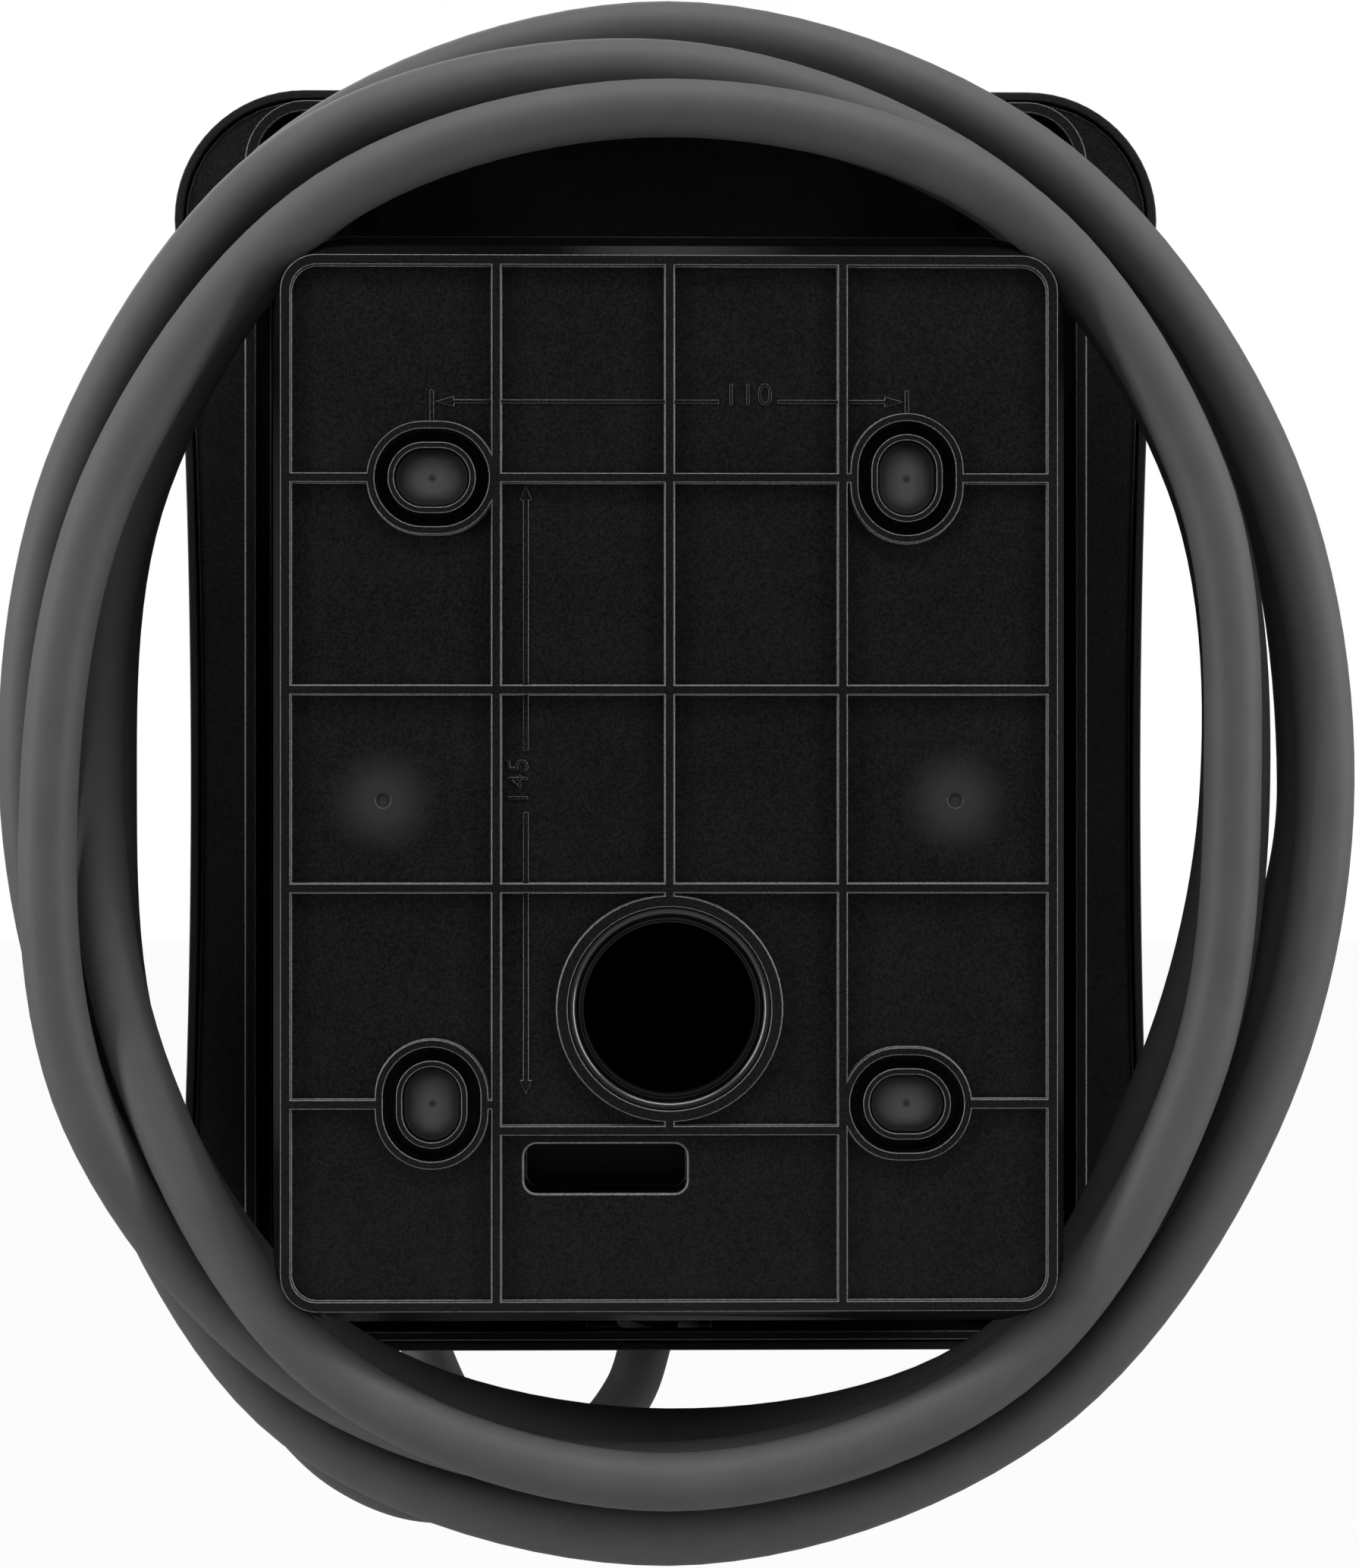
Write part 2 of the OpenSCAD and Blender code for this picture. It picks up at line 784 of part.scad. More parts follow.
edge_layers = 6;
function edge_inset(z) =
    let (rise = max(0, z - (cover_depth - edge_r)))
        edge_r - sqrt(edge_r * edge_r - rise * rise);

module front_cover() color("#1a1a1c") stand() difference() {
    straight_top = cover_depth - edge_r;
    layer_t = edge_r / edge_layers;
    union() {
        slab(land_z - 1, straight_top)
            difference() {
                cover_outline(0);
                cover_outline(cover_t);
            }
        for (i = [0 : edge_layers - 1])
            let (z = straight_top + i * layer_t, inset = edge_inset(z + layer_t * 0.6))
                slab(z, z + layer_t)
                    difference() {
                        cover_outline(inset);
                        cover_outline(inset + cover_t + 1);
                    }
        slab(front_z, cover_depth)
            cover_outline(edge_inset(cover_depth - layer_t) + 1);
        at_points(COVER_POSTS)
            peg(cover_post_r, moat_front + 0.2, front_z + cut);
        at_points(FRONT_BOARD_SCREWS)
            peg(3, front_board_z + board_t, front_z + cut);
    }
    gland_notch(skirt_z + 1, gland_at[2] + gland_bore_r + 3);
    at_points(COVER_POSTS)
        peg(pilot_r, moat_front - cut, front_z - 1);
    at_points(FRONT_BOARD_SCREWS)
        peg(1.2, front_board_z, front_z - 1);
    translate([button_at[0], button_at[1], 0])
        peg(button_d / 2 + slide_gap, front_z - cut, cover_depth + cut);
    slab(front_z - cut, cover_depth + cut)
        translate(lens_at)
            stadium(lens_size[0] + 2 * fit, lens_size[1] + 2 * fit);
    for (p = DOCK_SCREWS)
        translate([p[0], p[1], 0])
            peg(screw_r + 0.2, front_z - cut, cover_depth + cut);
}

module cover_screws() color("#232325") stand() at_points(COVER_POSTS)
    translate([0, 0, moat_z - fit])
        rotate([180, 0, 0])
            screw(pilot_r - fit, thread_bite + frame_t, 3.4);

module status_lens() color("#e9edf0") stand() {
    slab(front_z - fit, cover_depth + 0.3)
        translate(lens_at)
            stadium(lens_size[0], lens_size[1]);
    slab(front_z - 3, front_z - fit)
        translate(lens_at)
            stadium(lens_size[0] + 4, lens_size[1] + 4);
}

module front_board() color("#16191a") stand() slab(front_board_z, front_board_z + board_t) difference() {
    translate(front_board_at)
        square(front_board, center = true);
    for (p = FRONT_BOARD_SCREWS)
        translate(p)
            circle(1.6);
}

module front_board_screws() color("#a9a9ad") stand() at_points(FRONT_BOARD_SCREWS)
    translate([0, 0, front_board_z - fit])
        rotate([180, 0, 0])
            screw(1.1, 6, 2.3, 1.4);

module status_leds() color("#f4f6d8") stand() {
    led = 5;
    for (i = [-2 : 2])
        block([led, led, 2], [lens_at[0] + i * 12 - led / 2, lens_at[1] - led / 2, front_board_z + board_t]);
}

switch_h = 2;
module stop_switch() color("#2b2b2b") stand()
    block([12, 12, switch_h], [button_at[0] - 6, button_at[1] - 6, front_board_z + board_t]);

button_stem_z = front_board_z + board_t + switch_h + button_travel + 0.2;
module stop_button() color("#9c1d1d") stand() translate([button_at[0], button_at[1], 0]) {
    flange_top = front_z - 0.2;
    peg(button_d / 2, flange_top - fit, cover_depth + 3);
    peg(button_d / 2 + 2, flange_top - button_flange_t, flange_top);
    peg(3, button_stem_z, flange_top - button_flange_t + fit);
}

tamper_at = [0, opening_top - 31.3];
tamper_size = [20, 10, 6];
tamper_r = 2;
module tamper_switch() color("#24344f") stand() difference() {
    block(tamper_size, [tamper_at[0] - tamper_size[0] / 2, tamper_at[1] - tamper_size[1] / 2, moat_front]);
    translate([tamper_at[0], tamper_at[1], 0])
        peg(tamper_r + 0.2, moat_front + 1, moat_front + tamper_size[2] + cut);
}

module tamper_plunger() color("#d8d8d8") stand() translate([tamper_at[0], tamper_at[1], 0])
    peg(tamper_r, moat_front + 1.2 + tamper_travel, front_z - 0.2);

// ---- Electrics ----

module mounting_rail() color("#b9bcc0") stand() difference() {
    lip = (rail_w - 27) / 2;
    union() {
        block([rail_l, rail_w - 2 * lip, 1], [-rail_l / 2, rail_y - rail_w / 2 + lip, rail_z]);
        for (y = [rail_y - rail_w / 2 + lip, rail_y + rail_w / 2 - lip - 1])
            block([rail_l, 1, rail_h], [-rail_l / 2, y, rail_z]);
        for (y = [rail_y - rail_w / 2, rail_y + rail_w / 2 - lip - 1])
            block([rail_l, lip + 1, 1], [-rail_l / 2, y, rail_z + rail_h - 1]);
    }
    for (x = [-1, 1])
        translate([x * (rail_l / 2 - 11), rail_y, 0])
            peg(screw_r, rail_z - cut, rail_z + 2);
}

module rail_screws() color("#a9a9ad") stand()
    for (x = [-1, 1])
        translate([x * (rail_l / 2 - 11), rail_y, rail_z + 1 + fit])
            screw(pilot_r - fit, rail_pad + 2, 3.4);

module contactor() color("#c9c9c4") stand() difference() {
    union() {
        block([contactor_w, device_h, contactor_h], [contactor_x, device_low, device_z]);
        block([contactor_w - 6, device_h - 18, 3], [contactor_x + 3, device_low + 9, device_z + contactor_h - fit]);
    }
    for (i = [0 : 3], y = [device_low, device_low + device_h - 7])
        block([6, 7, 5], [contactor_x + 3 + i * 8, y, device_z + contactor_h - 4]);
    block([armature[0] + 2 * slide_gap, armature[1] + 2 * slide_gap, 20],
          [armature_at[0] - armature[0] / 2 - slide_gap, armature_at[1] - armature[1] / 2 - slide_gap,
           device_z + contactor_h - 12]);
}

module contactor_armature() color("#57565b") stand()
    block([armature[0], armature[1], 12],
          [armature_at[0] - armature[0] / 2, armature_at[1] - armature[1] / 2,
           device_z + contactor_h - 12 + armature_travel + 1]);

module power_supply() color("#ededeb") stand() difference() {
    block([supply_w, device_h, supply_h], [supply_x, device_low, device_z]);
    for (i = [0 : 7])
        block([3, device_h - 30, 3], [supply_x + 7 + i * 6.3, device_low + 15, device_z + supply_h - 1.5]);
}

module board_standoffs() color("#d3d1c8") stand() at_points(STANDOFFS) difference() {
    peg(standoff_r, floor_z, board_z);
    peg(pilot_r, board_z - 12, board_z + cut);
}

module main_board() color("#16191a") stand() slab(board_z, board_front) difference() {
    translate([0, board_y])
        square([board_w, board_h], center = true);
    for (p = STANDOFFS)
        translate(p)
            circle(screw_r);
}

module board_screws() color("#a9a9ad") stand() at_points(STANDOFFS, board_front + fit)
    screw(pilot_r - fit, thread_bite, 3);

module board_components() color("#2b2b2e") stand() {
    for (i = [0 : 2])
        block([15, 19, 16], [-20 + i * 19, board_low + 5, board_front]);
    block([14, 14, 1.4], [20, board_y + 8, board_front]);
    for (i = [0 : 3])
        translate([-62 + i * 13, board_top - 17, board_front])
            cylinder(h = 14, r = 5);
    block([46, 10, 9], [10, board_top - 17, board_front]);
}

module leakage_sensor() color("#3a4c8c") stand() translate([-45, board_y - 15, board_front]) difference() {
    cylinder(h = 13, r = 18);
    translate([0, 0, -cut])
        cylinder(h = 20, r = 10);
}

module radio_module() color("#c4c7cb") stand()
    block([18, 26, 3], [50, board_y - 10, board_front]);

module supply_terminals() color("#d9d6cc") stand() difference() {
    union() {
        block(terminal_size, [terminal_at[0], terminal_at[1], terminal_z]);
        block([terminal_size[0], terminal_size[1] - 8, terminal_z - floor_z + fit],
              [terminal_at[0], terminal_at[1] + 4, floor_z]);
    }
    for (i = [0 : 4])
        translate([terminal_at[0] + 7 + i * terminal_pitch, terminal_at[1] + terminal_size[1] / 2, 0]) {
            peg(3, terminal_z + terminal_size[2] - 9, terminal_z + terminal_size[2] + cut);
            block([8, 12, 8], [-4, terminal_size[1] / 2 - 8, terminal_z + 4]);
        }
}

module terminal_screws() color("#a9a9ad") stand()
    for (i = [0 : 4])
        translate([terminal_at[0] + 7 + i * terminal_pitch, terminal_at[1] + terminal_size[1] / 2, 0])
            difference() {
                peg(2.8, terminal_z + terminal_size[2] - 9, terminal_z + terminal_size[2] - 3);
                block([6, 0.8, 3], [-3, -0.4, terminal_z + terminal_size[2] - 4.2]);
            }

module earth_stud() color("#c39b4a") stand() translate([earth_at[0], earth_at[1], 0]) {
    peg(earth_r, floor_z, floor_z + 22);
    hex_prism(7, floor_z, floor_z + 4);
}

module earth_nut() color("#c9b27a") stand() translate([earth_at[0], earth_at[1], 0]) difference() {
    hex_prism(6, floor_z + 9, floor_z + 14);
    peg(earth_r + fit, floor_z + 8, floor_z + 15);
}

// Wires are tubes of few sides through points chosen by hand
wire_r = 1.5;
wire_sides = 6;
function wire_rings(points) = [
    for (i = [0 : len(points) - 1])
        let (a = points[max(0, i - 1)], b = points[min(len(points) - 1, i + 1)])
            [points[i], unit(b - a)]
];
module wire(points) {
    tube(wire_rings(points), wire_r, wire_sides, [1, 0, 0]);
}

module supply_wires() color("#5a3a22") stand()
    for (i = [0 : 3])
        wire([
            [terminal_at[0] + 7 + i * terminal_pitch, terminal_at[1] + terminal_size[1] + 0.05, terminal_z + 8],
            [terminal_at[0] + 7 + i * terminal_pitch, terminal_at[1] + terminal_size[1] + 6, terminal_z + 8],
            [-60 + i * 4, -72, 34],
            [-61 + i * 4, -20, 46],
            [contactor_x + 6 + i * 8, 28, 50],
            [contactor_x + 6 + i * 8, device_low - 6, board_z - 5],
            [contactor_x + 6 + i * 8, device_low - 4, board_z + 6],
            [contactor_x + 6 + i * 8, device_low - 3.6, device_z + contactor_h - 3],
            [contactor_x + 6 + i * 8, device_low + 2.5, device_z + contactor_h - 1]
        ]);

tail_face = gland_at - (tail_l + 0.05) * gland_way;
module outgoing_wires() color("#3a3a3f") stand()
    for (i = [0 : 3])
        wire([
            [contactor_x + 6 + i * 8, device_low + device_h - 3, device_z + contactor_h + 1.6],
            [contactor_x + 10 + i * 8, device_low + device_h - 4, device_z + contactor_h + 9],
            [-20 + i * 6, 92, 92],
            [-6 + i * 5, 50, 94],
            [-7 + i * 4, 0, 93.5],
            [-8 + i * 3.6, -60, 92],
            tail_face + (3.4 * i - 5.1) * gland_side - 9 * gland_way,
            tail_face + (3.4 * i - 5.1) * gland_side
        ]);

module signal_lead() color("#6b6b70") stand()
    wire([
        [30, board_top - 12, board_front + 9.05],
        [30, board_top - 12, board_front + 14],
        [31, 52, 84],
        [34, 74, 92],
        [37, 86, 98],
        [37, 88, front_board_z - 4],
        [37, 88, front_board_z - 0.05]
    ]);

// ---- Gland ----

module gland_body() color("#2a2a2d") stand() at_gland() difference() {
    union() {
        peg(gland_thread_r, -14, gland_boss_l + 2 * fit);
        hex_prism(gland_hex_r, gland_boss_l + fit, gland_hex_top);
        peg(gland_cavity_r - fit, gland_hex_top - fit, 12);
    }
    peg(gland_bore_r, -15, 13);
}

module gland_locknut() color("#8f9195") stand() at_gland() difference() {
    hex_prism(gland_hex_r, -12.5, -8.1);
    peg(gland_thread_r + fit, -14, -7);
}

module gland_seal() color("#3f3f42") stand() at_gland() difference() {
    peg(gland_cavity_r - fit, 12.1, 14.6);
    peg(gland_bore_r, 11, 16);
}

module gland_nut() color("#242427") stand() at_gland() difference() {
    union() {
        hex_prism(gland_nut_r, gland_hex_top + 2 * fit, 14.6);
        translate([0, 0, 14.5])
            cylinder(h = gland_tip - 14.5, r1 = 10.2, r2 = 8.6);
    }
    peg(gland_cavity_r, gland_boss_l, 14.7);
    peg(gland_bore_r, 14, gland_tip + cut);
}

module cable_tail() color("#1c1c1c") stand() at_gland()
    peg(cable_d / 2, -tail_l, gland_tip);

// ---- Connector and its parking cup ----

module connector_boot() color("#202022") stand() at_dock()
    translate([0, 0, grip_low - boot_l])
        cylinder(h = boot_l - fit, r1 = cable_d / 2 + 1.8, r2 = 16);

// Sets z along the two screws that go across the grip
module across_grip() {
    for (z = [grip_low + 14, grip_top - 14])
        translate([0, 0, z])
            rotate([0, 90, 0])
                children();
}

module grip_half(side) {
    at_dock()
        difference() {
            slab(grip_low, grip_top)
                difference() {
                    stadium(grip_l, grip_w);
                    translate([side > 0 ? -grip_l + fit / 2 : -fit / 2, -grip_w])
                        square([grip_l, 2 * grip_w]);
                }
            difference() {
                slab(grip_low + grip_t, grip_top - grip_t)
                    stadium(grip_l - 2 * grip_t, grip_w - 2 * grip_t);
                across_grip()
                    peg(5, -grip_l, grip_l);
            }
            across_grip()
                peg(pilot_r, 4 - grip_l / 2, grip_l);
            across_grip()
                peg(3.6, grip_l / 2 - grip_t, grip_l);
        }
}

module connector_grip_left() color("#1b1b1d") stand()
    grip_half(-1);

module connector_grip_right() color("#1b1b1d") stand()
    grip_half(1);

module connector_screws() color("#8d8d90") stand() at_dock() across_grip()
    translate([0, 0, grip_l / 2 - grip_t + fit])
        screw(pilot_r - fit, grip_l - 2 * grip_t - 4, 3.2);

module connector_collar() color("#26262a") stand() at_dock()
    peg(nose_d / 2 + 2.6, grip_top + fit, grip_top + 4);

module connector_nose() color("#1e1e20") stand() at_dock() difference() {
    peg(nose_d / 2, grip_top + 4 + fit, nose_top);
    for (c = CONTACTS)
        translate([c[0], c[1], 0])
            peg(c[2] + 1.4, nose_top - 30, nose_top + cut);
}

module connector_contacts() color("#c8b98a") stand() at_dock()
    for (c = CONTACTS)
        translate([c[0], c[1], 0])
            difference() {
                peg(c[2], nose_top - 30 + fit, nose_top - 4);
                peg(c[2] - 0.9, nose_top - 18, nose_top);
            }

module dock_cup() color("#1c1c1e") stand() difference() {
    union() {
        at_dock()
            peg(cup_r + cup_t, cup_low, cup_top);
        block([dock_plate[0], cup_l, dock_plate[1]], [dock_x - dock_plate[0] / 2, cup_low, dock_seal_top]);
        block([dock_plate[0] / 2, cup_l, 12], [dock_x - dock_plate[0] / 4, cup_low, dock_seal_top]);
    }
    at_dock()
        peg(cup_r, cup_low - cut, cup_top - 3);
    block([3 * cup_r, cup_l + 2 * cut, 10], [dock_x - 1.5 * cup_r, cup_low - cut, dock_seal_top - 10]);
    for (p = DOCK_SCREWS)
        translate([p[0], p[1], 0])
            peg(pilot_r, cover_depth, cover_depth + 4);
}

module dock_seal() color("#303033") stand() slab(cover_depth, dock_seal_top) difference() {
    translate([dock_x, (cup_low + cup_top) / 2])
        square([dock_plate[0] - 1, cup_l - 1], center = true);
    for (p = DOCK_SCREWS)
        translate(p)
            circle(3);
}

module dock_screws() color("#8d8d90") stand()
    for (p = DOCK_SCREWS)
        translate([p[0], p[1], front_z - fit])
            rotate([180, 0, 0])
                screw(pilot_r - fit, front_t + 3.5, 3);

rear_housing();
mount_grommets();
rear_entry_grommet();
housing_gasket();
mid_frame();
frame_screws();
front_cover();
cover_screws();
status_lens();
front_board();
front_board_screws();
status_leds();
stop_switch();
stop_button();
tamper_switch();
tamper_plunger();
mounting_rail();
rail_screws();
contactor();
contactor_armature();
power_supply();
board_standoffs();
main_board();
board_screws();
board_components();
leakage_sensor();
radio_module();
supply_terminals();
terminal_screws();
earth_stud();
earth_nut();
supply_wires();
outgoing_wires();
signal_lead();
gland_body();
gland_locknut();
gland_seal();
gland_nut();
cable_tail();
cable_lead_in();
cable_coil();
cable_lead_out();
connector_boot();
connector_grip_left();
connector_grip_right();
connector_screws();
connector_collar();
connector_nose();
connector_contacts();
dock_cup();
dock_seal();
dock_screws();
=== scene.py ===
import math

import bmesh
import bpy
from mathutils import Matrix, Vector


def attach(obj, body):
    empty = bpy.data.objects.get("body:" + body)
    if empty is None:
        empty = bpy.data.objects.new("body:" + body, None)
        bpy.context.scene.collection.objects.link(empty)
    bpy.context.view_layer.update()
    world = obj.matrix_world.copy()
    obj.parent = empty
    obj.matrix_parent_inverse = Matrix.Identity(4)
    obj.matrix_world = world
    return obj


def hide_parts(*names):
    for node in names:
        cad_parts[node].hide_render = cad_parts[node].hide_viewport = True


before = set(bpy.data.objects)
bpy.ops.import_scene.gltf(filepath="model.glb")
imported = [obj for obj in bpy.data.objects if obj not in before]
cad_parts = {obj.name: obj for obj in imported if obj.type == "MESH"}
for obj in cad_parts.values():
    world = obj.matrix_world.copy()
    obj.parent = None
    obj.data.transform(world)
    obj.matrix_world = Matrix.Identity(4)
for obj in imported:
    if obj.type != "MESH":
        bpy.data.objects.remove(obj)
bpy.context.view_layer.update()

MM = 0.001

# The plate's middle lies this far above the origin, which is midway between the wall screws.
PLATE_UP = 1.8 * MM

# Wall space: x right seen from the front, y up from the plate's middle, z out of the wall.
STAND = Matrix(((1, 0, 0, 0), (0, 0, -1, 0), (0, 1, 0, PLATE_UP), (0, 0, 0, 1)))
STAND_MM = STAND @ Matrix.Diagonal((MM, MM, MM, 1))


# ---------------------------------------------------------------- camera

CAMERA_AT = (0.0075, 0.6999, 0.0016)
CAMERA_AIM = (-0.00228, 0.0, 0.00163)
LENS = 69.46
SENSOR = 36


def look(thing, target):
    way = Vector(target) - thing.location
    thing.rotation_euler = way.to_track_quat("-Z", "Y").to_euler()


def make_camera():
    data = bpy.data.cameras.new("camera")
    data.lens = LENS
    data.sensor_width = SENSOR
    data.clip_start = 0.05
    data.clip_end = 20
    camera = bpy.data.objects.new("camera", data)
    bpy.context.collection.objects.link(camera)
    camera.location = CAMERA_AT
    look(camera, CAMERA_AIM)
    bpy.context.scene.camera = camera


make_camera()


# ---------------------------------------------------------------- pieces

def show(name, mesh, finish, nodes=(), body="root"):
    """Links a finished mesh as a piece, gives it its finish and lets it stand for CAD nodes."""
    piece = bpy.data.objects.new(name, mesh)
    bpy.context.collection.objects.link(piece)
    mesh.materials.clear()
    mesh.materials.append(finish)
    if nodes:
        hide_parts(*nodes)
    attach(piece, body)
    return piece


def to_mesh(bm, name, smooth=math.radians(35)):
    """Turns a bmesh into a mesh whose faces are smooth up to an angle."""
    bmesh.ops.recalc_face_normals(bm, faces=bm.faces)
    mesh = bpy.data.meshes.new(name)
    bm.to_mesh(mesh)
    bm.free()
    shade(mesh, smooth)
    return mesh


def shade(mesh, smooth):
    mesh.shade_smooth()
    mesh.set_sharp_from_angle(angle=smooth)


def merged_copy(node, reshape=None):
    """A CAD node's mesh as a bmesh with its doubles merged and its flat faces whole."""
    bm = bmesh.new()
    bm.from_mesh(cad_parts[node].data)
    bmesh.ops.remove_doubles(bm, verts=bm.verts, dist=0.001 * MM)
    if reshape:
        reshape(bm)
    bmesh.ops.dissolve_limit(bm, angle_limit=math.radians(0.4), verts=bm.verts, edges=bm.edges,
                             use_dissolve_boundaries=False)
    return bm


def edge_layer(bm):
    return bm.faces.layers.float.get("edge") or bm.faces.layers.float.new("edge")


def round_edges(bm, edges, radius, segments):
    """Rounds edges, and marks the rounding in the layer "edge", where moulded finishes paint a highlight."""
    edge_highlight = edge_layer(bm)
    rounded = bmesh.ops.bevel(bm, geom=edges, offset=radius, offset_type="OFFSET", segments=segments,
                              profile=0.5, affect="EDGES", clamp_overlap=False, material=-1)
    for face in rounded["faces"]:
        face[edge_highlight] = 1.0


def soften(bm, radius, segments=2, angle=math.radians(38), sharp_at=None):
    """Rounds every edge that is sharper than an angle.

    Edges in the plane y = sharp_at stay sharp, for a hidden face too narrow to be rounded.
    """
    sharp = [edge for edge in bm.edges if len(edge.link_faces) == 2 and edge.calc_face_angle(0) > angle]
    if sharp_at is not None:
        sharp = [edge for edge in sharp if any(abs(vert.co.y - sharp_at) > 0.05 * MM for vert in edge.verts)]
    round_edges(bm, sharp, radius, segments)


def even_normals(piece):
    """Keeps broad flat faces flat beside their rounded edges."""
    modifier = piece.modifiers.new("even_normals", "WEIGHTED_NORMAL")
    modifier.keep_sharp = True
    modifier.weight = 80


def dressed(node, radius, finish, body="root", segments=2, reshape=None, first=None, sharp_at=None):
    """A CAD node with its moulded edges rounded."""
    bm = merged_copy(node, reshape)
    if first:
        first(bm)
    soften(bm, radius, segments, sharp_at=sharp_at)
    piece = show("dressed_" + node, to_mesh(bm, node), finish, [node], body)
    even_normals(piece)
    return piece


# ---------------------------------------------------------------- shader maths

class Value:
    """A shader socket that takes part in arithmetic."""

    def __init__(self, graph, socket):
        self.graph = graph
        self.socket = socket

    def math(self, operation, *values):
        return self.graph.node("ShaderNodeMath", {"operation": operation}, dict(enumerate(values)))

    def __add__(self, other):
        return self.math("ADD", self, other)

    def __sub__(self, other):
        return self.math("SUBTRACT", self, other)

    def __mul__(self, other):
        return self.math("MULTIPLY", self, other)

    def __rsub__(self, other):
        return self.math("SUBTRACT", other, self)

    def __pow__(self, other):
        return self.math("POWER", self, other)

    __radd__ = __add__
    __rmul__ = __mul__

    def clamp(self):
        return self.math("MINIMUM", self.math("MAXIMUM", self, 0.0), 1.0)


class Graph:
    """A node tree of a material or of the world, with one method for all of its nodes."""

    def __init__(self, owner):
        self.owner = owner
        owner.use_nodes = True
        self.tree = owner.node_tree
        self.tree.nodes.clear()

    def node(self, kind, settings=None, inputs=None, output=0):
        made = self.tree.nodes.new(kind)
        for key, value in (settings or {}).items():
            if key == "stops":
                self.set_stops(made.color_ramp, value)
            else:
                setattr(made, key, value)
        for key, value in (inputs or {}).items():
            if isinstance(value, Value):
                self.tree.links.new(value.socket, made.inputs[key])
            else:
                made.inputs[key].default_value = value
        return Value(self, made.outputs[output]) if made.outputs else None

    @staticmethod
    def set_stops(ramp, stops):
        for index, (place, level) in enumerate(stops):
            element = ramp.elements[index] if index < 2 else ramp.elements.new(place)
            element.position = place
            element.color = (level, level, level, 1)

    def place(self):
        return self.node("ShaderNodeTexCoord", output="Object")

    def part_of(self, vector, axis):
        return self.node("ShaderNodeSeparateXYZ", inputs={"Vector": vector}, output=axis)

    def ray(self, kind):
        return self.node("ShaderNodeLightPath", output=kind)

    def noise(self, size, detail=2.0, rough=0.5, where=None):
        """Noise whose lumps are about as wide as size, in metres."""
        return self.node("ShaderNodeTexNoise", inputs={
            "Vector": where or self.place(), "Scale": 1 / size, "Detail": detail, "Roughness": rough})

    def ramp(self, value, stops):
        return self.node("ShaderNodeValToRGB", {"stops": stops}, {"Fac": value})

    def blend(self, share, first, second):
        """A colour between two, by a share."""
        mix = self.tree.nodes.new("ShaderNodeMix")
        mix.data_type = "RGBA"
        sockets = (mix.inputs["Factor"], mix.inputs[6], mix.inputs[7])
        for socket, value in zip(sockets, (share, first, second)):
            if isinstance(value, Value):
                self.tree.links.new(value.socket, socket)
            else:
                socket.default_value = value
        return Value(self, mix.outputs[2])

    def bump(self, height, strength, distance, under=None):
        inputs = {"Height": height, "Strength": strength, "Distance": distance}
        if under:
            inputs["Normal"] = under
        return self.node("ShaderNodeBump", inputs=inputs)

    def surface(self, **inputs):
        """Ends the material with a Principled shader. A socket's name is written with underscores."""
        named = {key.replace("_", " "): value for key, value in inputs.items()}
        shader = self.node("ShaderNodeBsdfPrincipled", inputs=named)
        self.node("ShaderNodeOutputMaterial", inputs={"Surface": shader})
        return self.owner


def new_finish(name):
    return Graph(bpy.data.materials.new(name))


def grey(level, tint=0.0):
    """A linear grey, with a touch of blue by the tint."""
    return (level, level, level * (1 + tint), 1)


def moulded(name, level, rough, grain=0.35 * MM, depth=0.012 * MM, edge_highlight=0.23, spots=(), sunk=None):
    """Black moulded plastic with a spark-eroded grain, faint flow marks and painted highlights on its rounded
    edges.

    Gate marks are pale spots. Past a sunk depth over the wall the colour is painted shade, near black, and
    the painted edge highlight is dimmed there.
    """
    finish = new_finish(name)
    grain_noise = finish.noise(grain, 3.0, 0.6)
    flow = finish.noise(28 * MM, 3.0, 0.55)
    sparks = finish.ramp(finish.noise(0.6 * MM, 2.0, 0.7), [(0.38, 0.0), (0.62, 1.0)])
    share = (flow * 0.4 + sparks * 0.8 - 0.1).clamp()
    colour = finish.blend(share, grey(level * 0.5, 0.03), grey(level * 1.7, 0.03))
    edge = finish.node("ShaderNodeAttribute", {"attribute_name": "edge"}, output="Fac")
    if sunk:
        # Painted shade: deeper than the sunk depth the colour goes to near black, standing in for the shade
        # in the pocket and other recesses, and the painted edge highlight is dimmed there.
        painted_recess_shade = ((0 - finish.part_of(finish.place(), "Y") - sunk) * 4000).clamp()
        colour = finish.blend(painted_recess_shade, colour, grey(0.0006))
        edge = edge * (1 - painted_recess_shade * 0.8)
    for spot, radius in spots:
        near = halo(finish, spot, radius)
        edge = edge * (1 - near)
        colour = finish.blend(near * 0.9, colour, grey(0.045))
    # Painted highlight: the rounded edges, from the layer "edge", are painted pale as if they glinted, less
    # so near the gate marks.
    colour = finish.blend((edge * (sparks * 0.5 + 0.5)).clamp(), colour, grey(edge_highlight))
    roughness = (flow * 0.1 + sparks * 0.08 + (rough - 0.1)).clamp()
    return finish.surface(Base_Color=colour, Roughness=roughness, Specular_IOR_Level=0.4,
                          Normal=finish.bump(grain_noise, 0.3, depth))


def halo(finish, spot, radius):
    """A soft round patch about a point on the plate."""
    apart = finish.node("ShaderNodeVectorMath", {"operation": "DISTANCE"},
                        {0: finish.place(), 1: spot}, output="Value")
    return ((1.4 - apart * (1.4 / radius)).clamp()) ** 1.4


